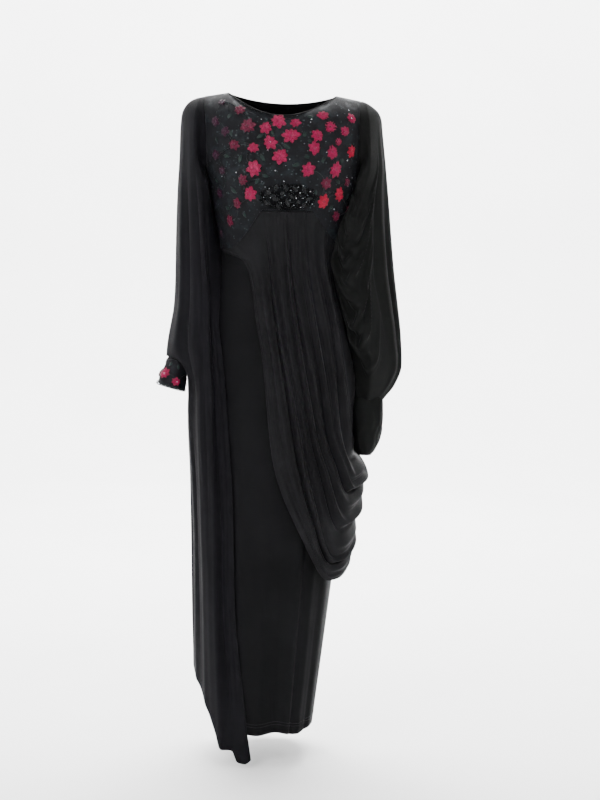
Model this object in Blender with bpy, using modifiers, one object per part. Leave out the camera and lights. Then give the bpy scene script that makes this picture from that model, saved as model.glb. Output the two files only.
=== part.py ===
"""A draped evening kaftan in black jersey, worn form, hollow, with no wearer.

Metres, +Z up. The origin is the middle of the shoulder line, where the wearer carries the kaftan.
The front faces -Y, and +X is the wearer's left, the right-hand side of a front view.
Every piece is an open surface worked out from the tables below and given a cloth wall.
"""

import math

import bmesh
import bpy
import numpy as np
from mathutils import Vector
from mathutils.geometry import delaunay_2d_cdt

# Walls and seams
CLOTH = 0.0016          # wall of the jersey pieces
YOKE_CLOTH = 0.0020     # wall of the embroidered yoke and cuff, tulle over jersey
SEAM = 0.0003           # gap between two pieces at a seam

# Driving dimensions of the cut
HEM_Z = -1.395          # level hem of the skirt, from the shoulder line
NECK_HALF = 0.119       # half width of the neck opening
FRONT_NECK_DROP = 0.052
BACK_NECK_DROP = 0.014
SHOULDER_TIP_X = 0.170
UNDERARM_Z = -0.190
WAIST_SEAM_Z = -0.335   # side and back of the seam under the yoke
ARCH_Z = -0.2555        # the same seam at the middle of the front
ARCH_HALF = 0.052       # half width of the flat top of that arch
ARCH_MIDDLE_X = 0.010
SHOULDER_SLOPE = 0.18
SHOULDER_TILT = 0.032   # the wearer's left shoulder is carried lower
SHOULDER_ROUND = 0.060  # drop over which the shoulder rounds to upright
SHOULDER_ARC = 0.120    # length along the cloth of that rounding
GIRTH_SCALE = 0.165     # metres of panel for one radian round the body
SQUARENESS = 2.3        # 2 is an ellipse, more is squarer
SEAM_STEPS = 26         # points along the seam under the yoke, on both of its pieces


class Table:
    """A short table with named columns, read smoothly and without overshoot between its rows."""

    def __init__(self, columns, rows):
        names = columns.split()
        values = np.array(sorted(rows), dtype=float)
        self.key = values[:, 0]
        self.columns = {name: values[:, i] for i, name in enumerate(names)}

    def at(self, name, key):
        x, y = self.key, self.columns[name]
        step = np.diff(x)
        rate = np.diff(y) / step
        slope = np.zeros_like(y)
        same = rate[:-1] * rate[1:] > 0
        middle = np.zeros_like(rate[:-1])
        middle[same] = 2 * rate[:-1][same] * rate[1:][same] / (rate[:-1][same] + rate[1:][same])
        slope[1:-1] = middle
        slope[0], slope[-1] = rate[0], rate[-1]
        k = np.clip(key, x[0], x[-1])
        i = np.clip(np.searchsorted(x, k) - 1, 0, len(step) - 1)
        t = (k - x[i]) / step[i]
        a = (1 + 2 * t) * (1 - t) ** 2 * y[i] + t * (1 - t) ** 2 * step[i] * slope[i]
        b = t * t * (3 - 2 * t) * y[i + 1] + t * t * (t - 1) * step[i] * slope[i + 1]
        return a + b


# The general figure under the dress, a row for each level
FIGURE = Table("z middle half front back", [
    (0.00, 0.000, 0.185, 0.088, 0.082),
    (-0.05, 0.000, 0.185, 0.092, 0.100),
    (-0.12, 0.000, 0.177, 0.106, 0.106),
    (-0.18, 0.000, 0.165, 0.124, 0.100),
    (-0.257, 0.000, 0.149, 0.106, 0.088),
    (-0.345, 0.000, 0.137, 0.095, 0.082),
    (-0.52, 0.000, 0.160, 0.110, 0.118),
    (-0.70, -0.003, 0.155, 0.112, 0.115),
    (-1.00, -0.018, 0.136, 0.115, 0.105),
    (-1.20, -0.030, 0.122, 0.122, 0.108),
    (-1.40, -0.040, 0.105, 0.130, 0.115),
])

# Shares of the armhole's depth at which the yoke's edge and the sleeves have their points
ARMHOLE_SHARES = (0.0, 0.05, 0.14, 0.27, 0.42, 0.60, 0.76, 0.89)

# Half width of the yoke at the armhole, down to the underarm
ARMHOLE = Table("z x", [
    (0.010, 0.170),
    (-0.012, 0.170),
    (-0.05, 0.166),
    (-0.10, 0.163),
    (-0.15, 0.163),
    (UNDERARM_Z, 0.1645),
])

# Soft upright folds of the skirt: where round the body (degrees), width, height at the hem
SKIRT_FOLDS = [
    (-62, 9, 0.006),
    (-34, 10, 0.005),
    (26, 9, 0.007),
    (58, 10, 0.006),
    (112, 11, 0.009),
    (140, 10, 0.007),
    (166, 9, 0.010),
    (196, 11, 0.008),
    (222, 10, 0.010),
    (250, 11, 0.007),
]


def smooth(low, high, value):
    t = np.clip((np.asarray(value, dtype=float) - low) / (high - low), 0, 1)
    return t * t * (3 - 2 * t)


def bump(offset, width):
    return np.exp(-(np.asarray(offset, dtype=float) / width) ** 2)


def shoulder_line(x):
    """Height of the shoulder seam above or below the origin."""
    return -SHOULDER_SLOPE * max(abs(x) - NECK_HALF, 0) - SHOULDER_TILT * x


def ring(degrees, z, out=0.0):
    """A point of the figure's level ring: 0 is the front, 90 the wearer's left, 180 the back."""
    turn = math.radians(degrees)
    side = math.sin(turn)
    depth = FIGURE.at("front" if math.cos(turn) > 0 else "back", z) + out
    reach = max(1 - abs(side) ** SQUARENESS, 0) ** (1 / SQUARENESS)
    x = FIGURE.at("middle", z) + (FIGURE.at("half", z) + out) * side
    y = -math.copysign(depth * reach, math.cos(turn))
    return Vector((x, y, z))


def skirt_folds(degrees, z):
    """How far the skirt's upright folds stand out at a place."""
    grow = float(smooth(-0.45, -1.25, z))
    total = 0.0
    for place, width, height in SKIRT_FOLDS:
        away = (degrees - place + 180) % 360 - 180
        total += height * float(bump(away, width))
    return total * grow


def skirt_surface(degrees, z, out=0.0):
    return ring(degrees, z, out + skirt_folds(degrees, z))


def torso(girth, drop, out=0.0, back=False):
    """A point of the bodice: girth round the body from its middle, drop along the cloth from the
    shoulder line, and out through the cloth."""
    if drop < SHOULDER_ARC:
        lean = drop / SHOULDER_ARC * math.pi / 2
        fall = SHOULDER_ROUND * (1 - math.cos(lean))
    else:
        lean = math.pi / 2
        fall = SHOULDER_ROUND + drop - SHOULDER_ARC
    side = math.sin(girth / GIRTH_SCALE)
    reach = max(1 - abs(side) ** SQUARENESS, 0) ** (1 / SQUARENESS)
    x = (FIGURE.at("half", -fall) + out * math.sin(lean)) * side
    z = shoulder_line(x) - fall + out * math.cos(lean)
    depth = FIGURE.at("back" if back else "front", z) + out
    y = depth * reach * math.sin(lean) + SEAM / 2
    return Vector((x, y if back else -y, z))


def drop_at(x, z):
    """The drop along the cloth of a point at this place and height."""
    fall = shoulder_line(x) - z
    if fall < SHOULDER_ROUND:
        return SHOULDER_ARC * math.acos(1 - max(fall, 0) / SHOULDER_ROUND) / (math.pi / 2)
    return SHOULDER_ARC + fall - SHOULDER_ROUND


def on_panel(x, z):
    """Girth and drop of the bodice's point at this place and height."""
    half = FIGURE.at("half", z - shoulder_line(x))
    return GIRTH_SCALE * math.asin(max(-1, min(1, x / half))), drop_at(x, z)


def seam_under_yoke(degrees):
    """Height of the arched seam under the front yoke, at a place round the body."""
    z = ARCH_Z
    for _ in range(6):
        x = FIGURE.at("half", z) * math.sin(math.radians(degrees))
        beyond = max(abs(x - ARCH_MIDDLE_X) - ARCH_HALF, 0)
        side = FIGURE.at("half", WAIST_SEAM_Z) - ARCH_HALF - abs(ARCH_MIDDLE_X)
        z = ARCH_Z + (WAIST_SEAM_Z - ARCH_Z) * math.sin(math.pi / 2 * min(beyond / side, 1)) ** 1.2
    return z


# Meshes

def cloth_material(name, colour, roughness, metallic=0.0):
    material = bpy.data.materials.new(name)
    material.use_nodes = True
    shader = material.node_tree.nodes["Principled BSDF"]
    shader.inputs["Base Color"].default_value = (*colour, 1)
    shader.inputs["Roughness"].default_value = roughness
    shader.inputs["Metallic"].default_value = metallic
    material.diffuse_color = (*colour, 1)
    return material


def add_object(name, mesh, material, collection):
    mesh.shade_smooth()
    mesh.materials.append(material)
    made = bpy.data.objects.new(name, mesh)
    collection.objects.link(made)
    return made


def grid_object(name, grid, material, collection, closed=False, hole=None, flip=False):
    """An open grid of points, rows then columns, given its wall with Solidify."""
    rows, columns = len(grid), len(grid[0])
    body = bmesh.new()
    points = [[body.verts.new(point) for point in row] for row in grid]
    for i in range(rows - 1):
        for j in range(columns if closed else columns - 1):
            if hole and hole[0] <= i < hole[1] and hole[2] <= j < hole[3]:
                continue
            after = (j + 1) % columns
            face = (points[i][j], points[i + 1][j], points[i + 1][after], points[i][after])
            body.faces.new(face[::-1] if flip else face)
    loose = [point for point in body.verts if not point.link_faces]
    bmesh.ops.delete(body, geom=loose, context="VERTS")
    mesh = bpy.data.meshes.new(name)
    body.to_mesh(mesh)
    body.free()
    made = add_object(name, mesh, material, collection)
    solid = made.modifiers.new("wall", "SOLIDIFY")
    solid.thickness = CLOTH
    solid.offset = 1
    solid.use_even_offset = False
    return made


def raise_along_normals(grid, relief, sign=1.0):
    """Move each point of a grid out along the surface by its relief."""
    points = np.array([[tuple(point) for point in row] for row in grid])
    across = np.gradient(points, axis=1)
    down = np.gradient(points, axis=0)
    normal = np.cross(down, across) * sign
    normal /= np.maximum(np.linalg.norm(normal, axis=2, keepdims=True), 1e-9)
    moved = points + normal * np.array(relief)[:, :, None]
    return [[Vector(point) for point in row] for row in moved]


def inside(point, outline):
    """Whether a flat point is inside a closed outline."""
    hit = False
    for i, (x1, y1) in enumerate(outline):
        x0, y0 = outline[i - 1]
        if (y0 > point[1]) != (y1 > point[1]):
            if point[0] < x0 + (point[1] - y0) / (y1 - y0) * (x1 - x0):
                hit = not hit
    return hit


def triangulate(outline, motifs, spacing, clear):
    """Flat points and triangles of a panel: its outline, its raised motifs and a lattice between."""
    flat = [Vector(point) for point in outline]
    heights = [0.0] * len(outline)
    edges = [(i, (i + 1) % len(outline)) for i in range(len(outline))]
    for motif in motifs:
        for loop in motif["loops"]:
            start = len(flat)
            count = len(loop["points"])
            flat += [Vector(point) for point in loop["points"]]
            heights += [loop["height"]] * count
            if count > 1:
                edges += [(start + i, start + (i + 1) % count) for i in range(count)]
    taken = np.array([tuple(point) for point in flat])
    low, high = taken.min(axis=0), taken.max(axis=0)
    rows = int((high[1] - low[1]) / (spacing * 0.866)) + 1
    columns = int((high[0] - low[0]) / spacing) + 2
    for i in range(rows):
        for j in range(columns):
            x = low[0] + (j + 0.5 * (i % 2)) * spacing
            y = low[1] + (i + 0.5) * spacing * 0.866
            near = np.min(np.hypot(taken[:, 0] - x, taken[:, 1] - y))
            if near > clear * spacing and inside((x, y), outline):
                if not any(inside((x, y), motif["loops"][0]["points"]) for motif in motifs):
                    flat.append(Vector((x, y)))
                    heights.append(0.0)
    made = delaunay_2d_cdt(flat, edges, [], 0, 1e-7)
    points, faces, sources = made[0], made[2], made[3]
    places = [heights[source[0]] if source else 0.0 for source in sources]
    kept = []
    for face in faces:
        middle = sum((points[i] for i in face), Vector((0, 0))) / 3
        if inside(middle, outline):
            kept.append(face)
    order = {number: i for i, source in enumerate(sources) for number in source}
    edge = [order[i] for i in range(len(outline))]
    return points, places, kept, edge


def panel_object(name, outline, motifs, surface, wall, spacing, material, collection, lift=0.0,
                 open_edges=(), flip=False):
    """A wall with a plain inside and an outside that carries raised motifs. The open edges meet each
    other at a seam where the panel closes to a tube."""
    outer = triangulate(outline, motifs, spacing, 0.45)
    inner = triangulate(outline, [], spacing * 1.15, 0.55) if motifs else outer
    body = bmesh.new()
    layers = []
    for (points, heights, faces, edge), out, turn in ((inner, 0.0, True), (outer, wall, False)):
        made = []
        for point, height in zip(points, heights):
            made.append(body.verts.new(surface(point[0], point[1], lift + out + height)))
        for face in faces:
            corners = [made[i] for i in face]
            body.faces.new(corners[::-1] if turn != flip else corners)
        layers.append([made[i] for i in edge])
    count = len(outline)
    for i in range(count):
        if i in open_edges:
            continue
        after = (i + 1) % count
        face = (layers[0][i], layers[0][after], layers[1][after], layers[1][i])
        body.faces.new(face[::-1] if flip else face)
    bmesh.ops.remove_doubles(body, verts=body.verts, dist=0.000001)
    bmesh.ops.recalc_face_normals(body, faces=body.faces)
    mesh = bpy.data.meshes.new(name)
    body.to_mesh(mesh)
    body.free()
    return add_object(name, mesh, material, collection)


# Raised motifs

def flower(x, y, radius, petals=6, turn=0.0, height=0.0022):
    """A sewn flower: a rim on the cloth, raised petals with notches between them, a sunk eye."""
    rim, top = [], []
    for i in range(petals * 2):
        angle = turn + math.pi * i / petals
        reach = radius * (1.0 if i % 2 == 0 else 0.62)
        rim.append((x + reach * math.cos(angle), y + reach * math.sin(angle)))
        top.append((x + 0.80 * reach * math.cos(angle), y + 0.80 * reach * math.sin(angle)))
    eye = {"points": [(x, y)], "height": height * 0.45}
    return {"loops": [{"points": rim, "height": 0.0}, {"points": top, "height": height}, eye]}


def leaf(x, y, length, turn, height=0.0016):
    """A sewn leaf: a pointed rim on the cloth and a raised middle."""
    rim = []
    for along, aside in ((-0.5, 0), (-0.1, 0.24), (0.25, 0.20), (0.5, 0), (0.25, -0.20), (-0.1, -0.24)):
        rim.append((x + length * (along * math.cos(turn) - aside * math.sin(turn)),
                    y + length * (along * math.sin(turn) + aside * math.cos(turn))))
    top = []
    for along in (-0.22, 0.24):
        top.append({"points": [(x + length * along * math.cos(turn),
                                y + length * along * math.sin(turn))], "height": height})
    return {"loops": [{"points": rim, "height": 0.0}] + top}


def bead(x, y, radius, height=0.003, sides=6):
    """A large sewn bead, low and faceted."""
    rim, top = [], []
    for i in range(sides):
        angle = 2 * math.pi * (i + 0.5) / sides
        rim.append((x + radius * math.cos(angle), y + radius * math.sin(angle)))
        top.append((x + 0.55 * radius * math.cos(angle), y + 0.55 * radius * math.sin(angle)))
    return {"loops": [{"points": rim, "height": 0.0}, {"points": top, "height": height}]}


# Flowers of the yoke: x and z of the middle, radius, petals, all in millimetres but the last
YOKE_FLOWERS = [
    (-9, -64, 15, 6), (29, -67, 10, 6), (-34, -78, 13, 6), (19, -95, 17, 7), (-25, -109, 15, 6),
    (-3, -139, 17, 6), (85, -51, 13, 6), (101, -75, 15, 6), (75, -94, 13, 6), (147, -56, 13, 6),
    (133, -84, 12, 6), (119, -107, 9, 5), (68, -122, 14, 6), (106, -128, 15, 6), (146, -125, 14, 6),
    (54, -169, 16, 6), (114, -166, 17, 7), (92, -196, 14, 6), (120, -219, 15, 6), (88, -235, 15, 6),
    (114, -266, 12, 6), (138, -192, 10, 5), (140, -250, 11, 5), (-58, -166, 17, 6),
    (-83, -190, 12, 6), (-67, -220, 16, 6), (-95, -239, 12, 5), (-62, -121, 12, 6),
    (-101, -113, 12, 6), (-73, -74, 16, 7), (-90, -40, 13, 6), (-129, -22, 10, 5),
    (-142, -62, 12, 6), (-121, -83, 11, 5), (-140, -134, 12, 5), (-126, -168, 10, 5),
    (-133, -214, 11, 5), (-112, -275, 12, 5), (-130, -300, 9, 5),
]

# Leaves of the yoke: x and z of the middle, length in millimetres, turn in degrees
YOKE_LEAVES = [
    (10, -118, 20, 35), (48, -92, 18, 110), (52, -140, 20, 20), (-46, -96, 18, 150),
    (126, -146, 19, 60), (87, -146, 17, 120), (-41, -142, 19, 60), (30, -158, 18, 160),
    (118, -192, 17, 30), (-88, -144, 19, 120), (-103, -211, 19, 40), (-110, -88, 17, 70),
    (-52, -192, 18, 130), (70, -216, 18, 75), (60, -55, 17, 20), (-112, -52, 16, 140),
    (139, -222, 15, 95), (-117, -247, 16, 20), (-118, -137, 18, 10), (-35, -181, 16, 15),
]

# Large beads of the yoke: x and z of the middle, radius in millimetres, facets
YOKE_BEADS = [
    (62, -71, 4.0, 6), (117, -50, 3.6, 6), (47, -112, 3.6, 6), (92, -107, 3.6, 6), (138, -146, 3.8, 6),
    (16, -146, 3.6, 6), (-14, -170, 3.4, 6), (-97, -166, 3.6, 6), (-44, -60, 3.4, 6), (-121, -194, 3.6, 6),
    (78, -146, 3.4, 6), (137, -170, 3.6, 6), (-40, -213, 3.6, 6), (-85, -100, 3.4, 6),
]

# The beaded motif under the bust: x and z of each jet leaf, length in millimetres, turn in degrees
MOTIF_LEAVES = [
    (-29, -216, 20, 150), (-31, -237, 20, 205), (-12, -207, 19, 115), (-13, -230, 18, 180),
    (7, -205, 18, 70), (12, -238, 19, 250), (27, -208, 18, 30), (46, -211, 19, 60),
    (56, -229, 19, 350), (45, -243, 17, 300), (-8, -246, 15, 230),
]
MOTIF_BEADS = [
    (6, -222, 5.5, 6), (29, -228, 5.5, 6), (37, -217, 4.0, 6), (-24, -227, 4.0, 6), (58, -214, 4.0, 6),
    (24, -243, 4.2, 6), (43, -228, 4.0, 6), (62, -240, 3.6, 6), (-38, -226, 3.6, 6), (18, -212, 3.6, 6),
]


def rim_of(motif):
    return np.array(motif["loops"][0]["points"])


def placed(rows, make, outline, beside=(), apart=0.0008):
    """Motifs of a table in millimetres, laid on the bodice's flat panel. Each is made a little
    smaller until it is clear of those before it, or left out where it has no room."""
    motifs = []
    for x, z, size, last in rows:
        girth, drop = on_panel(x / 1000, z / 1000)
        for shrink in (1.0, 0.93, 0.86, 0.79, 0.72):
            motif = make(girth, drop, size * shrink / 1000, last)
            rim = rim_of(motif)
            edge = np.array(outline)
            margin = np.min(np.hypot(edge[:, None, 0] - rim[:, 0], edge[:, None, 1] - rim[:, 1]))
            fits = margin > 2 * apart and all(inside(point, outline) for point in rim)
            for other in list(beside) + motifs:
                near = rim_of(other)
                away = np.min(np.hypot(near[:, None, 0] - rim[:, 0], near[:, None, 1] - rim[:, 1]))
                crossed = any(inside(point, near) for point in rim) or any(inside(p, rim) for p in near)
                if crossed or away < apart:
                    fits = False
                    break
            if fits:
                motifs.append(motif)
                break
    return motifs


def run(start, end, count):
    """Evenly spaced values with the start and without the end."""
    return [start + (end - start) * i / count for i in range(count)]


def side_girth(z):
    """Half the girth of the bodice at a height: the armhole, then the side seam."""
    if z > UNDERARM_Z:
        half = FIGURE.at("half", z)
        return GIRTH_SCALE * math.asin(min(ARMHOLE.at("x", z) / half, 1))
    return GIRTH_SCALE * math.pi / 2


def armhole_levels(side):
    """Heights of the points of one armhole, from the shoulder tip down to just above the underarm."""
    tip = shoulder_line(side * SHOULDER_TIP_X)
    return [tip + (UNDERARM_Z - tip) * share for share in ARMHOLE_SHARES]


def bow(z):
    """A side seam is cut with a bow of a fifth of a millimetre."""
    return 0.0002 * math.sin(math.pi * (z - UNDERARM_Z) / (WAIST_SEAM_Z - UNDERARM_Z))


def bodice_outline(neck_drop, lower_edge, count=1.0):
    """The flat outline of a bodice panel, from the neck point round to the left and back."""
    steps = lambda number: max(2, round(number * count))
    outline = []
    for x in run(-NECK_HALF, NECK_HALF, steps(20)):
        z = shoulder_line(x) - neck_drop * (1 - (x / NECK_HALF) ** 2)
        outline.append(on_panel(x, z))
    for x in run(NECK_HALF, SHOULDER_TIP_X, steps(4)):
        outline.append((on_panel(x, shoulder_line(x))[0], 0.0))
    for z in armhole_levels(1):
        outline.append((side_girth(z), drop_at(SHOULDER_TIP_X, z)))
    for z in run(UNDERARM_Z, WAIST_SEAM_Z, steps(9)):
        outline.append((side_girth(UNDERARM_Z) + bow(z), drop_at(FIGURE.at("half", z), z)))
    for degrees in run(90, -90, SEAM_STEPS):
        z = lower_edge(degrees)
        x = FIGURE.at("half", z) * math.sin(math.radians(degrees))
        outline.append((GIRTH_SCALE * math.radians(degrees), drop_at(x, z)))
    for z in run(WAIST_SEAM_Z, UNDERARM_Z, steps(9)):
        outline.append((-side_girth(UNDERARM_Z) - bow(z), drop_at(-FIGURE.at("half", z), z)))
    for z in [UNDERARM_Z] + armhole_levels(-1)[:0:-1]:
        outline.append((-side_girth(z), drop_at(-SHOULDER_TIP_X, z)))
    for x in run(-SHOULDER_TIP_X, -NECK_HALF, steps(4)):
        outline.append((on_panel(x, shoulder_line(x))[0], 0.0))
    return outline


def yoke_flower(x, y, size, petals):
    return flower(x, y, size, petals, 40 * x)


def yoke_leaf(x, y, size, turn):
    return leaf(x, y, size, math.radians(turn))


def yoke_bead(x, y, size, sides):
    return bead(x, y, size, 0.0030, sides)


def motif_leaf(x, y, size, turn):
    return leaf(x, y, size, math.radians(turn), 0.0030)


def motif_bead(x, y, size, sides):
    return bead(x, y, size, 0.0042, sides)


def motif_outline():
    """The scalloped outline of the beaded motif under the bust."""
    middle_x, middle_z, half_x, half_z = 0.013, -0.2255, 0.061, 0.0275
    outline = []
    for i in range(44):
        angle = -2 * math.pi * i / 44
        wave = 1 + 0.05 * math.cos(11 * angle)
        x = middle_x + half_x * wave * math.cos(angle)
        z = middle_z + half_z * wave * math.sin(angle)
        outline.append(on_panel(x, z))
    return outline


def make_bodice(collection):
    yoke = cloth_material("bodice_front", (0.020, 0.012, 0.016), 0.75)
    outline = bodice_outline(FRONT_NECK_DROP, seam_under_yoke)
    kept_bare = [{"loops": [{"points": motif_outline()}]}]
    motifs = placed(YOKE_FLOWERS, yoke_flower, outline, kept_bare)
    motifs += placed(YOKE_LEAVES, yoke_leaf, outline, kept_bare + motifs)
    motifs += placed(YOKE_BEADS, yoke_bead, outline, kept_bare + motifs)
    panel_object("bodice_front", outline, motifs, torso, YOKE_CLOTH, 0.021, yoke, collection)

    plain = cloth_material("bodice_back", (0.016, 0.016, 0.017), 0.85)
    outline = bodice_outline(BACK_NECK_DROP, lambda degrees: WAIST_SEAM_Z, 0.7)
    behind = lambda girth, drop, out: torso(girth, drop, out, back=True)
    panel_object("bodice_back", outline, [], behind, CLOTH, 0.038, plain, collection, flip=True)


def make_motif(collection):
    """The beaded motif lies on the yoke under the bust, made from the yoke's points, moved out."""
    jet = cloth_material("waist_motif", (0.012, 0.014, 0.014), 0.25, 0.3)
    outline = motif_outline()
    motifs = placed(MOTIF_BEADS, motif_bead, outline)
    motifs += placed(MOTIF_LEAVES, motif_leaf, outline, motifs)
    panel_object("waist_motif", outline, motifs, torso, 0.0012, 0.012, jet, collection,
                 lift=YOKE_CLOTH + 0.0006)


def make_skirt(collection):
    cloth = cloth_material("skirt_front", (0.017, 0.017, 0.018), 0.85)
    behind = cloth_material("skirt_back", (0.016, 0.016, 0.017), 0.85)
    levels = (0, 0.03, 0.065, 0.105, 0.15, 0.21, 0.29, 0.39, 0.51, 0.63, 0.75, 0.87, 1.0)
    for name, first, last, sign, material in (
            ("skirt_front", -90, 90, -1, cloth), ("skirt_back", 90, 270, 1, behind)):
        grid = []
        for level in levels:
            row = []
            for degrees in np.linspace(first, last, SEAM_STEPS + 1):
                top = (seam_under_yoke(degrees) if sign < 0 else WAIST_SEAM_Z) - 2 * SEAM
                hem = HEM_Z + 0.004 * math.sin(math.radians(degrees * 7))
                z = top + (hem - top) * level
                point = skirt_surface(degrees, z)
                point.y += sign * SEAM / 2
                row.append(point)
            grid.append(row)
        grid_object(name, grid, material, collection)


# The swag: fold lines from the free edge to the upper edge. Each has its place across the swag and
# then, for each place along the cloth from the seam under the yoke to the centre back, the degrees
# round the body and the height
SWAG_ALONG = (0.0, 0.10, 0.30, 0.50, 0.66, 0.78, 0.89, 1.0)
SWAG_LINES = [
    (0.00, (-76, -36, -17, -6, 16, 48, 88, 142), (-0.342, -0.366, -0.53, -0.78, -0.935, -1.055, -1.03, -0.93)),
    (0.30, (-10, -8, 0, 14, 27, 49, 86, 142), (-0.257, -0.330, -0.52, -0.72, -0.88, -1.005, -0.975, -0.87)),
    (0.42, (0, 2, 8, 20, 33, 54, 86, 142), (-0.257, -0.330, -0.505, -0.69, -0.835, -0.945, -0.92, -0.80)),
    (0.55, (9, 10, 15, 27, 39, 58, 88, 142), (-0.257, -0.330, -0.49, -0.65, -0.785, -0.885, -0.865, -0.74)),
    (0.80, (33, 33, 36, 44, 54, 72, 96, 142), (-0.263, -0.320, -0.44, -0.59, -0.72, -0.805, -0.795, -0.69)),
    (1.00, (52, 50, 48, 53, 64, 80, 98, 142), (-0.270, -0.310, -0.40, -0.49, -0.56, -0.62, -0.665, -0.64)),
]
# Pleats of the swag: place across it, width, height
SWAG_PLEATS = [
    (0.030, 0.030, 0.35), (0.150, 0.034, 0.60), (0.265, 0.030, 0.85), (0.360, 0.030, 1.00),
    (0.455, 0.028, 0.85), (0.545, 0.028, 1.00), (0.640, 0.030, 0.90), (0.740, 0.032, 1.00),
    (0.850, 0.034, 0.80),
]
SWAG_LEVELS = (0, 0.025, 0.05, 0.08, 0.12, 0.18, 0.25, 0.33, 0.41, 0.49, 0.57, 0.65, 0.72, 0.79, 0.85,
               0.885, 0.92, 0.96, 1.0)
SWAG_CLEAR = 0.0040     # from the skirt to the swag's cloth
SWAG_PLEAT = 0.013      # height of a full pleat
SWAG_STAND = 0.030      # how far the heavy loops over the side stand off the skirt


def make_swag(collection):
    material = cloth_material("drape_front", (0.018, 0.018, 0.019), 0.80)
    along_tables = []
    for across, turns, heights in SWAG_LINES:
        along_tables.append((across, Table("v degrees z", zip(SWAG_ALONG, turns, heights))))
    across_places = np.concatenate([np.linspace(0, 0.1, 4), np.linspace(0.1, 1, 34)[1:]])
    grid = []
    for v in SWAG_LEVELS:
        across_table = Table("u degrees z", [
            (across, float(table.at("degrees", v)), float(table.at("z", v)))
            for across, table in along_tables])
        if not grid:
            lift = [seam_under_yoke(float(across_table.at("degrees", u))) - 3 * SEAM
                    - float(across_table.at("z", u)) for u in across_places]
        row = []
        for u, raised in zip(across_places, lift):
            degrees = float(across_table.at("degrees", u))
            z = float(across_table.at("z", u)) + raised * float(smooth(0.25, 0.0, v))
            full = float(smooth(0.0, 0.35, v)) * 0.7 + 0.3
            pleats = sum(height * float(bump(u - place, width)) for place, width, height in SWAG_PLEATS)
            stand = SWAG_STAND * float(smooth(0.45, 0.8, v)) * float(smooth(1.0, 0.45, u))
            stand *= (1 - 0.7 * float(smooth(0.85, 1.0, v))) * float(smooth(-0.72, -0.82, z))
            beside_sleeve = float(smooth(55, 80, degrees)) * float(smooth(-0.82, -0.76, z))
            height = SWAG_PLEAT * full * (1 - 0.55 * beside_sleeve) * float(smooth(1.0, 0.93, u))
            height *= 1 - 0.5 * float(smooth(0.6, 0.8, v)) * float(smooth(0.34, 0.2, u))
            clear = SWAG_CLEAR - 0.0016 * float(smooth(0.08, 0.0, v)) + 0.004 * float(smooth(0.8, 0.95, v))
            out = clear + stand + height * pleats
            row.append(skirt_surface(degrees, z, out))
        grid.append(row)
    grid_object("drape_front", grid, material, collection)


# The two winged sleeves. Each row is one section of the cloth, from its front edge on the body, by
# the front fold, the outer fold and the back fold, to its back edge on the body.
WING_COLUMNS = "z front_deg back_deg out fold_x fold_y outer_z outer_x outer_y back_x back_y"
RIGHT_WING = Table(WING_COLUMNS, [
    (-0.0045, 90, 90, 0.000, 0.1740, 0.002, -0.0040, 0.1745, 0.000, 0.1740, 0.002),
    (-0.0138, 90, 90, 0.000, 0.181, 0.025, -0.0070, 0.188, 0.000, 0.181, 0.025),
    (-0.035, 90, 90, 0.000, 0.184, 0.041, -0.013, 0.2015, 0.000, 0.184, 0.041),
    (-0.060, 90, 90, 0.000, 0.188, 0.052, -0.024, 0.2125, 0.000, 0.188, 0.052),
    (-0.090, 90, 90, 0.000, 0.190, 0.060, -0.042, 0.221, 0.002, 0.190, 0.060),
    (-0.125, 90, 90, 0.000, 0.191, 0.064, -0.075, 0.2245, 0.004, 0.191, 0.066),
    (-0.170, 88, 92, 0.0035, 0.190, 0.067, -0.130, 0.227, 0.004, 0.191, 0.070),
    (-0.230, 86, 96, 0.008, 0.186, 0.069, -0.210, 0.2325, 0.002, 0.190, 0.073),
    (-0.300, 82, 100, 0.008, 0.182, 0.070, -0.290, 0.236, 0.000, 0.187, 0.076),
    (-0.380, 72, 104, 0.008, 0.178, 0.073, -0.380, 0.238, -0.004, 0.183, 0.082),
    (-0.450, 62, 110, 0.006, 0.176, 0.080, -0.450, 0.239, -0.006, 0.178, 0.090),
    (-0.540, 54, 118, 0.006, 0.174, 0.089, -0.540, 0.250, -0.008, 0.174, 0.100),
    (-0.660, 48, 124, 0.006, 0.170, 0.093, -0.660, 0.212, -0.006, 0.172, 0.102),
    (-0.720, 46, 126, 0.006, 0.170, 0.094, -0.720, 0.213, -0.004, 0.172, 0.100),
    (-0.90, 40, 130, 0.006, 0.166, 0.090, -0.90, 0.208, -0.002, 0.168, 0.094),
    (-1.10, 36, 134, 0.006, 0.162, 0.094, -1.10, 0.205, 0.000, 0.164, 0.094),
    (-1.30, 26, 138, 0.006, 0.160, 0.098, -1.30, 0.204, 0.000, 0.162, 0.096),
    (-1.46, 16, 142, 0.006, 0.158, 0.100, -1.46, 0.203, 0.000, 0.160, 0.098),
])
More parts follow.
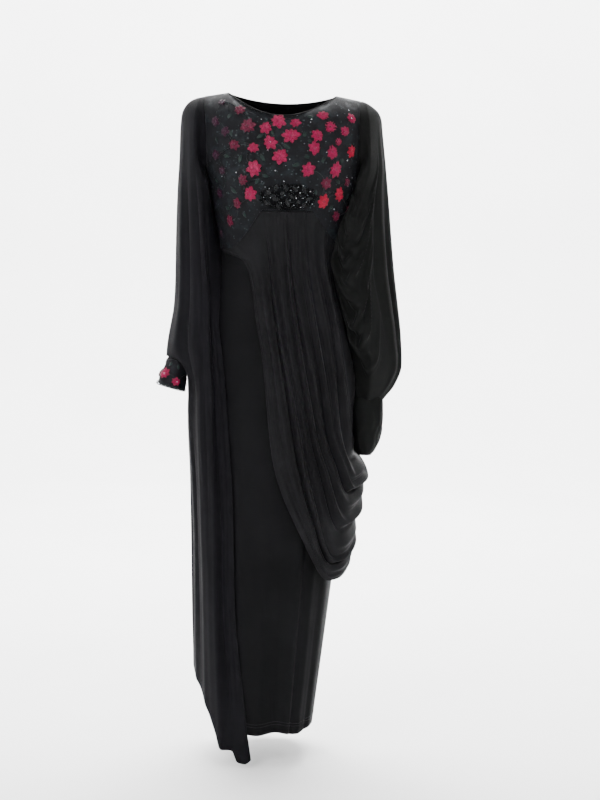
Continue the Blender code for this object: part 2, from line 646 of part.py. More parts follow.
LEFT_WING = Table(WING_COLUMNS, [
    (-0.0146, 90, 90, 0.000, 0.1740, 0.002, -0.0140, 0.1745, 0.000, 0.1740, 0.002),
    (-0.0234, 90, 90, 0.000, 0.181, 0.025, -0.0190, 0.186, 0.000, 0.181, 0.025),
    (-0.045, 90, 90, 0.000, 0.184, 0.040, -0.027, 0.198, 0.000, 0.184, 0.041),
    (-0.070, 90, 90, 0.000, 0.187, 0.050, -0.038, 0.2095, 0.000, 0.188, 0.052),
    (-0.100, 90, 90, 0.000, 0.189, 0.058, -0.055, 0.2165, 0.002, 0.190, 0.060),
    (-0.135, 90, 90, 0.000, 0.190, 0.062, -0.088, 0.2195, 0.004, 0.191, 0.066),
    (-0.180, 88, 92, 0.0035, 0.190, 0.064, -0.140, 0.224, 0.004, 0.191, 0.070),
    (-0.235, 70, 98, 0.010, 0.172, 0.080, -0.215, 0.230, 0.002, 0.190, 0.073),
    (-0.300, 56, 102, 0.012, 0.160, 0.092, -0.290, 0.236, 0.000, 0.188, 0.076),
    (-0.380, 51, 106, 0.013, 0.156, 0.098, -0.380, 0.2445, -0.004, 0.190, 0.080),
    (-0.450, 53, 106, 0.014, 0.166, 0.100, -0.450, 0.252, -0.006, 0.194, 0.080),
    (-0.530, 64, 104, 0.015, 0.184, 0.088, -0.530, 0.259, -0.008, 0.200, 0.074),
    (-0.590, 77, 98, 0.016, 0.198, 0.066, -0.590, 0.261, -0.008, 0.204, 0.058),
    (-0.634, 85, 94, 0.016, 0.198, 0.042, -0.634, 0.250, -0.006, 0.202, 0.038),
    (-0.668, 88.6, 91.2, 0.0155, 0.194, 0.028, -0.668, 0.227, -0.004, 0.196, 0.024),
])
# Hem of the long wing by its distance from the middle of the body, front and back
WING_HEM = Table("x front back", [
    (0.040, -1.440, -1.385),
    (0.063, -1.446, -1.382),
    (0.085, -1.463, -1.375),
    (0.100, -1.461, -1.368),
    (0.112, -1.436, -1.360),
    (0.136, -1.432, -1.345),
    (0.147, -1.400, -1.335),
    (0.176, -1.325, -1.305),
    (0.206, -1.262, -1.262),
])
# Upright folds of a wing: place along the section at the shoulder and at the hem, width, height
RIGHT_FOLDS = [
    (0.10, 0.10, 0.030, 0.007), (0.20, 0.20, 0.034, 0.010), (0.30, 0.31, 0.028, 0.008),
    (0.39, 0.40, 0.026, 0.007), (0.62, 0.61, 0.030, 0.008), (0.73, 0.72, 0.032, 0.010),
    (0.84, 0.84, 0.030, 0.008), (0.94, 0.94, 0.028, 0.005),
]
LEFT_FOLDS = [
    (0.34, 0.36, 0.030, 0.007), (0.43, 0.43, 0.026, 0.005), (0.60, 0.60, 0.032, 0.007),
    (0.72, 0.72, 0.034, 0.009), (0.84, 0.84, 0.032, 0.008),
]
# Cowls that hang from the body to the sleeve: height of the loop's bottom, its depth of relief
COWLS = [
    (-0.330, 0.010), (-0.362, 0.013), (-0.400, 0.014), (-0.446, 0.016), (-0.498, 0.016), (-0.555, 0.013),
    (-0.608, 0.008),
]


def through(points, count):
    """Evenly spaced points on a smooth curve through a few points."""
    known = np.array([tuple(point) for point in points])
    known = np.vstack([2 * known[0] - known[1], known, 2 * known[-1] - known[-2]])
    fine = []
    for i in range(1, len(known) - 2):
        a, b, c, d = known[i - 1:i + 3]
        tangent_b = (c - a) / 2
        tangent_c = (d - b) / 2
        for t in np.linspace(0, 1, 24, endpoint=False):
            fine.append((2 * t ** 3 - 3 * t * t + 1) * b + (t ** 3 - 2 * t * t + t) * tangent_b
                        + (3 * t * t - 2 * t ** 3) * c + (t ** 3 - t * t) * tangent_c)
    fine.append(known[-2])
    fine = np.array(fine)
    length = np.concatenate([[0], np.cumsum(np.linalg.norm(np.diff(fine, axis=0), axis=1))])
    places = np.linspace(0, length[-1], count)
    return np.column_stack([np.interp(places, length, fine[:, k]) for k in range(fine.shape[1])])


def body_edge(side, z, degrees, out, back):
    """Where a wing's edge meets the body: the armhole above the underarm, the dress below it."""
    if z > UNDERARM_Z:
        tip = shoulder_line(side * SHOULDER_TIP_X)
        drop = drop_at(side * SHOULDER_TIP_X, min(z, tip))
        point = torso(side * side_girth(z), drop, 0.0, back)
        point.x += side * (3 * SEAM + YOKE_CLOTH + 0.0012 * float(smooth(-0.10, UNDERARM_Z, z)))
        return point
    turn = side * degrees
    point = skirt_surface(turn, z, CLOTH + out)
    return point


def wing_section(side, table, z, columns):
    front = body_edge(side, z, float(table.at("front_deg", z)), float(table.at("out", z)), False)
    back = body_edge(side, z, float(table.at("back_deg", z)), float(table.at("out", z)), True)
    value = lambda name: float(table.at(name, z))
    outer_z = value("outer_z")
    outer = (side * value("outer_x"), value("outer_y"), outer_z)
    lean = 0.45
    fold = (side * value("fold_x"), -value("fold_y"), outer_z + (z - outer_z) * lean)
    rear = (side * value("back_x"), value("back_y"), outer_z + (z - outer_z) * lean)
    return through([front, fold, outer, rear, back], columns)


def wing_relief(folds, place, fade):
    return sum(height * fade * float(bump(place - (top + (low - top) * fade), width))
               for top, low, width, height in folds)


def make_right_wing(collection):
    """The long wing hangs from the shoulder to the hem, with the cuff sewn in its outer fold."""
    material = cloth_material("wing_right", (0.018, 0.017, 0.019), 0.80)
    columns = 29
    upper = armhole_levels(-1) + [UNDERARM_Z, -0.26, -0.34, -0.42, -0.50]
    wrist = [-0.540, -0.567, -0.595, -0.622, -0.650]
    lower = [-0.70]
    levels = upper + wrist + lower
    grid, relief = [], []
    for z in levels:
        section = wing_section(-1, RIGHT_WING, z, columns)
        fade = float(smooth(-0.02, -0.22, z))
        grid.append([Vector(point) for point in section])
        relief.append([wing_relief(RIGHT_FOLDS, i / (columns - 1), fade) for i in range(columns)])
    for share in np.linspace(0, 1, 8)[1:]:
        level = lower[-1] + (-1.46 - lower[-1]) * share
        section = wing_section(-1, RIGHT_WING, level, columns)
        row = []
        for i, point in enumerate(section):
            rear = i > (columns - 1) / 2
            hem = float(WING_HEM.at("back" if rear else "front", abs(point[0])))
            row.append(Vector((point[0], point[1], lower[-1] + (hem - lower[-1]) * share)))
        grid.append(row)
        relief.append([wing_relief(RIGHT_FOLDS, i / (columns - 1), 1.0) for i in range(columns)])
    grid = raise_along_normals(grid, relief, sign=-1.0)
    first, last = len(upper), len(upper) + len(wrist) - 1
    middle = (columns - 1) // 2
    hole = (first, last, middle - 2, middle + 2)
    grid = fit_wrist(grid, hole)
    grid_object("wing_right", grid, material, collection, hole=hole, flip=True)


# The wrist of the long wing
WRIST_MIDDLE = Vector((-0.2370, -0.008, -0.5745))
WRIST_AXIS = Vector((-0.20, -0.06, -0.97)).normalized()
WRIST_OUT = 0.0280       # half size of the wrist ring away from the body
WRIST_DEEP = 0.0280      # half size of the ring front to back


def wrist_ring(angle, along=0.0, grow=0.0):
    """A point of the wrist's ring: 90 degrees is away from the body, 0 is the front."""
    outward = Vector((WRIST_AXIS.z, 0, -WRIST_AXIS.x)).normalized()
    forward = WRIST_AXIS.cross(outward).normalized()
    if forward.y > 0:
        forward.negate()
    turn = math.radians(angle)
    return (WRIST_MIDDLE + WRIST_AXIS * along + outward * math.sin(turn) * (WRIST_OUT + grow)
            + forward * math.cos(turn) * (WRIST_DEEP + grow))


def fit_wrist(grid, hole):
    """Lead the rim of the opening in a wing to the wrist's ring and ease the cloth round it."""
    top, bottom, left, right = hole
    rim = [(top, j) for j in range(left, right)]
    rim += [(i, right) for i in range(top, bottom)]
    rim += [(bottom, j) for j in range(right, left, -1)]
    rim += [(i, left) for i in range(bottom, top, -1)]
    count = len(rim)
    start = (right - left) / 2
    fixed = set(rim)
    for k, (i, j) in enumerate(rim):
        grid[i][j] = wrist_ring(90 - 360 * (start - k) / count)
    reach = 5
    rows, columns = len(grid), len(grid[0])
    free = []
    for i in range(max(top - reach, 1), min(bottom + reach + 1, rows - 1)):
        for j in range(max(left - reach, 1), min(right + reach + 1, columns - 1)):
            within = top < i < bottom and left < j < right
            if (i, j) not in fixed and not within:
                free.append((i, j))
    for _ in range(60):
        eased = {}
        for i, j in free:
            around = [grid[i - 1][j], grid[i + 1][j], grid[i][j - 1], grid[i][j + 1]]
            mean = sum(around, Vector()) / 4
            off = max(top - i, i - bottom, left - j, j - right, 0) / (reach + 1)
            eased[(i, j)] = grid[i][j].lerp(mean, 0.5 * (1 - off))
        for (i, j), point in eased.items():
            grid[i][j] = point
    return grid


def make_left_wing(collection):
    """The other wing closes at the wrist, with cowls between the body and the sleeve."""
    material = cloth_material("wing_left", (0.019, 0.020, 0.019), 0.80)
    columns = 23
    levels = armhole_levels(1) + [UNDERARM_Z, -0.23, -0.275]
    levels += list(np.linspace(-0.315, -0.63, 17)) + [-0.648, -0.668]
    grid, relief = [], []
    for z in levels:
        section = wing_section(1, LEFT_WING, z, columns)
        grid.append([Vector(point) for point in section])
        fade = float(smooth(-0.03, -0.24, z)) * float(smooth(-0.668, -0.60, z))
        row = []
        for i, point in enumerate(section):
            place = i / (columns - 1)
            window = float(smooth(0.0, 0.05, place)) * float(smooth(0.46, 0.30, place))
            cowl = sum(height * float(bump(point[2] - low - 1.1 * (place - 0.15) ** 2, 0.0125))
                       for low, height in COWLS)
            row.append(wing_relief(LEFT_FOLDS, place, fade) + cowl * window)
        relief.append(row)
    grid = raise_along_normals(grid, relief)
    grid_object("wing_left", grid, material, collection)


# Sections of the hanging end of that sleeve
SLEEVE_END = Table("z x y half_x half_y", [
    (-0.6690, 0.1985, -0.004, 0.0285, 0.0255),
    (-0.700, 0.1960, -0.006, 0.0240, 0.0270),
    (-0.735, 0.1950, -0.010, 0.0250, 0.0280),
    (-0.765, 0.1935, -0.012, 0.0220, 0.0250),
    (-0.790, 0.1905, -0.013, 0.0150, 0.0190),
])


def make_left_cuff(collection):
    material = cloth_material("cuff_left", (0.018, 0.018, 0.018), 0.80)
    grid = []
    for z in (-0.6690, -0.680, -0.700, -0.720, -0.740, -0.758, -0.772, -0.783, -0.790):
        row = []
        for degrees in np.linspace(0, 360, 18, endpoint=False):
            turn = math.radians(degrees)
            soft = 1 + 0.06 * math.sin(3 * turn + 40 * z)
            x = SLEEVE_END.at("x", z) + SLEEVE_END.at("half_x", z) * soft * math.sin(turn)
            y = SLEEVE_END.at("y", z) - SLEEVE_END.at("half_y", z) * soft * math.cos(turn)
            row.append(Vector((x, y, z)))
        grid.append(row)
    grid_object("cuff_left", grid, material, collection, closed=True)


CUFF_LENGTH = 0.062
CUFF_FLARE = 0.0060
CUFF_TUCK = 0.0042       # how much smaller the cuff starts than the ring it is sewn in
CUFF_STEPS = 26          # points round the cuff's edges
CUFF_SIDE_STEPS = 4      # points along its seam
# Flowers of the cuff: degrees round the wrist, distance down in millimetres, radius, petals
CUFF_FLOWERS = [
    (50, 26, 11.5, 6), (12, 40, 9, 6), (-40, 30, 10, 6), (-95, 36, 9, 6), (105, 40, 9, 6),
    (160, 28, 10, 6),
]
# Leaves of the cuff: degrees round the wrist, distance down, length, turn in degrees
CUFF_LEAVES = [
    (72, 10, 13, 80), (28, 14, 13, 60), (-12, 16, 12, 110), (-68, 22, 13, 60), (132, 16, 13, 100),
]


def make_right_cuff(collection):
    """The embroidered cuff carries on from the wrist's ring, with its own flowers and leaves."""
    material = cloth_material("cuff_right", (0.022, 0.014, 0.018), 0.75)
    radius = (WRIST_OUT + WRIST_DEEP) / 2
    girth = 2 * math.pi * radius

    def tube(around, down, out):
        angle = math.degrees(around / radius)
        flare = CUFF_FLARE * float(smooth(0, CUFF_LENGTH, down))
        return wrist_ring(angle, 0.0006 + down, flare - CUFF_TUCK + out)

    bowed = lambda along: 0.0001 * math.sin(math.pi * along)
    half = girth / 2
    outline = [(a, -bowed(0.5 + a / girth)) for a in run(-half, half, CUFF_STEPS)]
    outline += [(half + bowed(d / CUFF_LENGTH), d) for d in run(0.0, CUFF_LENGTH, CUFF_SIDE_STEPS)]
    outline += [(a, CUFF_LENGTH + bowed(0.5 + a / girth)) for a in run(half, -half, CUFF_STEPS)]
    outline += [(-half + bowed(d / CUFF_LENGTH), d) for d in run(CUFF_LENGTH, 0.0, CUFF_SIDE_STEPS)]
    one_side = set(range(CUFF_STEPS, CUFF_STEPS + CUFF_SIDE_STEPS))
    seam_edges = one_side | {i + CUFF_STEPS + CUFF_SIDE_STEPS for i in one_side}
    motifs = []
    for angle, down, size, petals in CUFF_FLOWERS:
        motifs.append(flower(math.radians(angle) * radius, down / 1000, size / 1000, petals, 0.4))
    for angle, down, size, turn in CUFF_LEAVES:
        motifs.append(leaf(math.radians(angle) * radius, down / 1000, size / 1000, math.radians(turn)))
    panel_object("cuff_right", outline, motifs, tube, YOKE_CLOTH, 0.014, material, collection,
                 open_edges=seam_edges)


def main():
    for old in list(bpy.data.objects):
        bpy.data.objects.remove(old, do_unlink=True)
    collection = bpy.data.collections.new("kaftan")
    bpy.context.scene.collection.children.link(collection)
    make_bodice(collection)
    make_motif(collection)
    make_skirt(collection)
    make_swag(collection)
    make_right_wing(collection)
    make_left_wing(collection)
    make_right_cuff(collection)
    make_left_cuff(collection)


main()
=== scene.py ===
"""Looks of the draped black jersey kaftan: fine cloth on the solids' forms, sewn flowers and beads,
the stage, the light and the camera.

Metres, +Z up, the front faces -Y, and the origin is the middle of the shoulder line.
"""
import math

import bpy
import numpy as np
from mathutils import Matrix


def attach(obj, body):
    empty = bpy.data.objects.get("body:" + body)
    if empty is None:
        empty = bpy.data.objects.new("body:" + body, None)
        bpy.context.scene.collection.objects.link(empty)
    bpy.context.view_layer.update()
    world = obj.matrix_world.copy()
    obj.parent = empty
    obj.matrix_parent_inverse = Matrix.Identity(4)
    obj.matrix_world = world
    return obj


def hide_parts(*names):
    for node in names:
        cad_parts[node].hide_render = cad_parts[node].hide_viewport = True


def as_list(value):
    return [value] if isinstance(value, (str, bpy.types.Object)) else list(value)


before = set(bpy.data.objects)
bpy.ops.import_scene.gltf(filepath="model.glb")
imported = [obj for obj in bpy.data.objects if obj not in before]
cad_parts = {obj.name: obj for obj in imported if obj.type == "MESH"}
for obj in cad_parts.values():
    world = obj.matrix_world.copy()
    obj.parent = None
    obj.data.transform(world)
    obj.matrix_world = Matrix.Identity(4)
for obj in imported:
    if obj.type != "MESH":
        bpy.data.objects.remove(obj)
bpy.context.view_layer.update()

BODY = "root"
ROUND = 2 * math.pi

# Cut of the kaftan, as in the solids
JERSEY = 0.0009         # wall of the jersey
TULLE = 0.0012          # wall of the yoke's jersey and net
SATIN_WALL = 0.00025
SEAM = 0.0003
WALL = 0.0016           # wall of the solids' jersey, which the wings' edges are set from
YOKE_WALL = 0.0020
HEM_Z = -1.395
NECK_HALF = 0.119
FRONT_NECK_DROP = 0.052
BACK_NECK_DROP = 0.014
SHOULDER_TIP_X = 0.170
UNDERARM_Z = -0.190
WAIST_SEAM_Z = -0.335
ARCH_Z = -0.2555
ARCH_HALF = 0.052
ARCH_MIDDLE_X = 0.010
SHOULDER_SLOPE = 0.18
SHOULDER_TILT = 0.032
SHOULDER_ROUND = 0.060
SHOULDER_ARC = 0.120
GIRTH_SCALE = 0.165
SQUARENESS = 2.3
DRIFT_WAVES = 7
STITCH_PITCH, STITCH_LENGTH, STITCH_THREAD = 0.0042, 0.0027, 0.00028
STEM = 0.0006


class Table:
    """A short table with named columns, read smoothly and without overshoot between its rows."""

    def __init__(self, columns, rows):
        values = np.array(sorted(map(tuple, rows)), dtype=float)
        self.key = values[:, 0]
        self.columns = dict(zip(columns.split(), values.T))

    def at(self, name, key):
        x, y = self.key, self.columns[name]
        step = np.diff(x)
        rate = np.diff(y) / step
        before, after = rate[:-1], rate[1:]
        same = before * after > 0
        slope = np.zeros_like(y)
        slope[1:-1][same] = 2 * before[same] * after[same] / (before[same] + after[same])
        slope[0], slope[-1] = rate[0], rate[-1]
        k = np.clip(key, x[0], x[-1])
        i = np.clip(np.searchsorted(x, k) - 1, 0, len(step) - 1)
        t = (k - x[i]) / step[i]
        a = (1 + 2 * t) * (1 - t) ** 2 * y[i] + t * (1 - t) ** 2 * step[i] * slope[i]
        b = t * t * (3 - 2 * t) * y[i + 1] + t * t * (t - 1) * step[i] * slope[i + 1]
        return a + b


def millimetres(columns, rows):
    """A table whose rows are in millimetres, but for its columns of degrees."""
    parts = [1 if name.endswith("deg") else 1000 for name in columns.split()]
    return Table(columns, np.array(rows) / parts)


# Level rings of the worn dress: middle, half width, depth to the front and to the back
RINGS = millimetres("z middle half front back", [
    (0, 0, 185, 88, 82), (-50, 0, 185, 92, 100), (-120, 0, 177, 106, 106),
    (-180, 0, 165, 124, 100), (-257, 0, 149, 106, 88), (-345, 0, 137, 95, 82),
    (-520, 0, 160, 110, 118), (-700, -3, 155, 112, 115), (-1000, -18, 136, 115, 105),
    (-1200, -30, 122, 122, 108), (-1400, -40, 105, 130, 115),
])
ARMHOLE = millimetres("z x", [
    (10, 170), (-12, 170), (-50, 166), (-100, 163), (-150, 163), (-190, 164.5),
])
# Soft upright folds of the skirt: where round the dress (degrees), width, height at the hem
SKIRT_FOLDS = [
    (-62, 9, 0.006), (-34, 10, 0.005), (26, 9, 0.007), (58, 10, 0.006), (112, 11, 0.009),
    (140, 10, 0.007), (166, 9, 0.01), (196, 11, 0.008), (222, 10, 0.01), (250, 11, 0.007),
]
# Finer creases of the skirt: degrees at the waist and at the hem, width, height, height where each
# begins and where it is full
SKIRT_CREASES = [
    (-8, -6, 6, 0.0016, -0.95, -1.25), (10, 12, 4, -0.0014, -1, -1.3),
    (27, 30, 2.6, -0.006, -0.86, -1.06), (36, 41, 4.2, 0.004, -0.84, -1.1),
    (47, 52, 3, -0.003, -0.98, -1.22), (66, 70, 4, 0.0018, -1, -1.25),
    (78, 80, 3, -0.0018, -0.95, -1.2), (100, 103, 3.4, -0.0034, -0.62, -1),
    (121, 126, 3, -0.0045, -0.46, -0.92), (131, 134, 4, 0.0026, -0.7, -1.1),
    (152, 153, 2.6, -0.0046, -0.42, -0.8), (176, 179, 3.4, -0.005, -0.5, -0.95),
    (188, 187, 3, 0.003, -0.8, -1.2), (206, 208, 2.6, -0.0048, -0.44, -0.86),
    (214, 214, 3, 0.0022, -0.6, -1), (232, 235, 3.2, -0.0042, -0.6, -1),
    (262, 263, 3, -0.003, -0.8, -1.2),
]


# Form

def smooth(low, high, value):
    t = np.clip((np.asarray(value, dtype=float) - low) / (high - low), 0, 1)
    return t * t * (3 - 2 * t)


def bump(offset, width):
    return np.exp(-(np.asarray(offset, dtype=float) / width) ** 2)


def crest(offset, width, steep=1.0):
    """A fold with a narrow crest, steeper on its first side than on its second."""
    offset = np.asarray(offset, dtype=float)
    scaled = np.where(offset < 0, offset * steep, offset / steep) / width
    return np.exp(-np.abs(scaled) ** 1.6)


def drift(across, along, seed):
    """The slow unevenness of hung cloth, from a few crossed waves."""
    rng = np.random.default_rng(seed)
    total = 0.0
    for _ in range(DRIFT_WAVES):
        pace_across, pace_along = rng.normal(0, 1, 2)
        total = total + np.sin(pace_across * across + pace_along * along + rng.uniform(0, ROUND))
    return total / DRIFT_WAVES ** 0.5


def together(*parts):
    return np.stack(np.broadcast_arrays(*parts), axis=-1).astype(float)


def unit(vectors):
    return vectors / np.maximum(np.linalg.norm(vectors, axis=-1, keepdims=True), 1e-9)


def running(steps):
    return np.concatenate([[0], np.cumsum(steps)])


def lengths_along(path):
    return running(np.linalg.norm(np.diff(path, axis=0), axis=1))


def points_at(places, along, path):
    return np.column_stack([np.interp(places, along, path[:, k]) for k in range(3)])


def turn_from(place, degrees):
    """The signed turn from one place round the dress to others, in degrees."""
    return (degrees - place + 180) % 360 - 180


def squared(side):
    return np.maximum(1 - np.abs(side) ** SQUARENESS, 0) ** (1 / SQUARENESS)


def shoulder_line(x):
    return -SHOULDER_SLOPE * np.maximum(np.abs(x) - NECK_HALF, 0) - SHOULDER_TILT * np.asarray(x)


def neck_line(x, drop):
    return shoulder_line(x) - drop * (1 - (x / NECK_HALF) ** 2)


def ring(degrees, z, out=0.0):
    """Points of the dress's level ring: 0 is the front, 90 the kaftan's left, 180 the back."""
    turn = np.radians(degrees)
    side = np.sin(turn)
    ahead = np.cos(turn) > 0
    depth = np.where(ahead, RINGS.at("front", z), RINGS.at("back", z)) + out
    x = RINGS.at("middle", z) + (RINGS.at("half", z) + out) * side
    return together(x, np.where(ahead, -depth, depth) * squared(side), z)


def skirt_surface(degrees, z, out=0.0):
    total = 0.0
    for place, width, height in SKIRT_FOLDS:
        total = total + height * bump(turn_from(place, degrees), width)
    return ring(degrees, z, out + total * smooth(-0.45, -1.25, z))


def torso(girth, drop, out=0.0, back=False):
    """Points of the bodice: girth round the dress from its middle, drop along the cloth from the
    shoulder line, and out through the cloth."""
    girth, drop = np.asarray(girth, dtype=float), np.asarray(drop, dtype=float)
    lean = np.clip(drop / SHOULDER_ARC, 0, 1) * math.pi / 2
    fall = np.where(drop < SHOULDER_ARC, SHOULDER_ROUND * (1 - np.cos(lean)),
                    SHOULDER_ROUND + drop - SHOULDER_ARC)
    side = np.sin(girth / GIRTH_SCALE)
    x = (RINGS.at("half", -fall) + out * np.sin(lean)) * side
    z = shoulder_line(x) - fall + out * np.cos(lean)
    depth = RINGS.at("back" if back else "front", z) + out
    y = depth * squared(side) * np.sin(lean) + SEAM / 2
    return together(x, y if back else -y, z)


def drop_at(x, z):
    fall = shoulder_line(x) - z
    lean = np.arccos(np.clip(1 - np.maximum(fall, 0) / SHOULDER_ROUND, -1, 1))
    rounded = SHOULDER_ARC * lean / (math.pi / 2)
    return np.where(fall < SHOULDER_ROUND, rounded, SHOULDER_ARC + fall - SHOULDER_ROUND)


def on_panel(x, z):
    """Girth and drop of the bodice's point at this place and height."""
    half = RINGS.at("half", z - shoulder_line(x))
    return GIRTH_SCALE * np.arcsin(np.clip(x / half, -1, 1)), drop_at(x, z)


def in_millimetres(rows):
    """Rows whose first two numbers are x and z on the yoke, with girth and drop in their place."""
    for x, z, *rest in rows:
        yield *on_panel(x / 1000, z / 1000), *rest


def seam_under_yoke(degrees):
    """Height of the arched seam under the front yoke, at a place round the dress."""
    z = np.full(np.shape(degrees), ARCH_Z)
    side = RINGS.at("half", WAIST_SEAM_Z) - ARCH_HALF - abs(ARCH_MIDDLE_X)
    for _ in range(6):
        x = RINGS.at("half", z) * np.sin(np.radians(degrees))
        beyond = np.maximum(np.abs(x - ARCH_MIDDLE_X) - ARCH_HALF, 0)
        bend = np.sin(math.pi / 2 * np.minimum(beyond / side, 1)) ** 1.2
        z = ARCH_Z + (WAIST_SEAM_Z - ARCH_Z) * bend
    return z


def round_panel(degrees, z):
    """Girth and drop of the bodice's point at this place round the dress and height."""
    turn = np.radians(degrees)
    return GIRTH_SCALE * turn, drop_at(RINGS.at("half", z) * np.sin(turn), z)


def side_girth(z):
    half = RINGS.at("half", z)
    armhole = GIRTH_SCALE * np.arcsin(np.minimum(ARMHOLE.at("x", z) / half, 1))
    return np.where(z > UNDERARM_Z, armhole, GIRTH_SCALE * math.pi / 2)


# Meshes

def placed(name, data):
    """A new object in the scene."""
    thing = bpy.data.objects.new(name, data)
    bpy.context.scene.collection.objects.link(thing)
    return thing


def grid_faces(rows, columns, closed=False):
    """The four corners of each face between the points of a grid."""
    number = np.arange(rows * columns).reshape(rows, columns)
    if closed:
        number = np.hstack([number, number[:, :1]])
    return np.stack([number[:-1, :-1], number[1:, :-1], number[1:, 1:], number[:-1, 1:]], axis=-1)


def sewn(name, points, faces, places, material, slot, thickness=0.0, flat_faces=False):
    """A piece of the kaftan. places are its flat coordinates in metres, for its knit or net."""
    mesh = bpy.data.meshes.new(name)
    mesh.from_pydata(points.tolist(), [], faces)
    if not flat_faces:
        mesh.shade_smooth()
    layer = mesh.uv_layers.new(name="cloth")
    corner = np.empty(len(mesh.loops), dtype=np.int32)
    mesh.loops.foreach_get("vertex_index", corner)
    layer.data.foreach_set("uv", np.asarray(places, dtype=np.float32)[corner].ravel())
    mesh.materials.append(material)
    piece = placed(name, mesh)
    if thickness:
        wall = piece.modifiers.new("wall", "SOLIDIFY")
        wall.thickness = thickness
        wall.offset = 1
        wall.use_even_offset = False
    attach(piece, BODY)
    return piece


def cloth(name, points, material, slot, thickness=JERSEY, closed=False, hole=None, flip=False):
    """A thin shell on a grid of points, rows then columns."""
    rows, columns = points.shape[:2]
    faces = grid_faces(rows, columns, closed)
    kept = np.ones(faces.shape[:2], dtype=bool)
    if hole:
        kept[hole[0]:hole[1], hole[2]:hole[3]] = False
    faces = faces[kept]
    if flip:
        faces = faces[:, ::-1]
    used = np.zeros(rows * columns, dtype=bool)
    used[faces.ravel()] = True
    order = np.cumsum(used) - 1
    across = np.linalg.norm(np.diff(points, axis=1), axis=2).mean(axis=0)
    down = np.linalg.norm(np.diff(points, axis=0), axis=2).mean(axis=1)
    flat = together(running(across)[None, :], -running(down)[:, None]).reshape(-1, 2)
    points, faces = points.reshape(-1, 3)[used], order[faces].tolist()
    return sewn(name, points, faces, flat[used], material, slot, thickness)


def outward(points, relief, sign=1.0):
    """A grid moved out along its own surface by its relief."""
    across = np.gradient(points, axis=1)
    down = np.gradient(points, axis=0)
    return points + unit(np.cross(down, across) * sign) * relief[..., None]


# Whorls of a flower: share of its radius, lift off the cloth, curl
WHORLS = ((1.0, 0.0002, 0.0015), (0.66, 0.0013, 0.0020))
# Outline of a jet leaf for a length of one, and the faces of its slopes
JET_OUTLINE = [(-0.5, 0), (-0.22, 0.20), (0.10, 0.25), (0.34, 0.15), (0.5, 0), (0.34, -0.15),
               (0.10, -0.25), (-0.22, -0.20)]
JET_SLOPES = [(8, 9, 16), (9, 10, 17, 16), (10, 11, 18, 17), (11, 12, 18), (12, 13, 18),
              (13, 14, 17, 18), (14, 15, 16, 17), (15, 8, 16)]


def petal(radius, angle, petals, curl):
    """A petal in its flower's plane: how far out and aside, height, and its own coordinates."""
    s = np.linspace(0, 1, 8)[:, None]
    t = np.linspace(-1, 1, 7)[None, :]
    half = radius * 2.35 / petals * np.sin(math.pi * (0.09 + 0.78 * s) ** 0.92) ** 0.52
    ragged = 1 + 0.13 * np.sin(9 * t + 7 * angle) * s ** 3
    reach = radius * (0.08 + 0.98 * s * ragged * (1 - 0.16 * s * t * t))
    height = curl * np.sin(math.pi * 0.62 * s) + 0.0009 * t * t * s
    height = height - 0.0005 * bump(t, 0.22) * s - 0.0006 * s ** 4
    return reach, half * t, height, together(s, t)


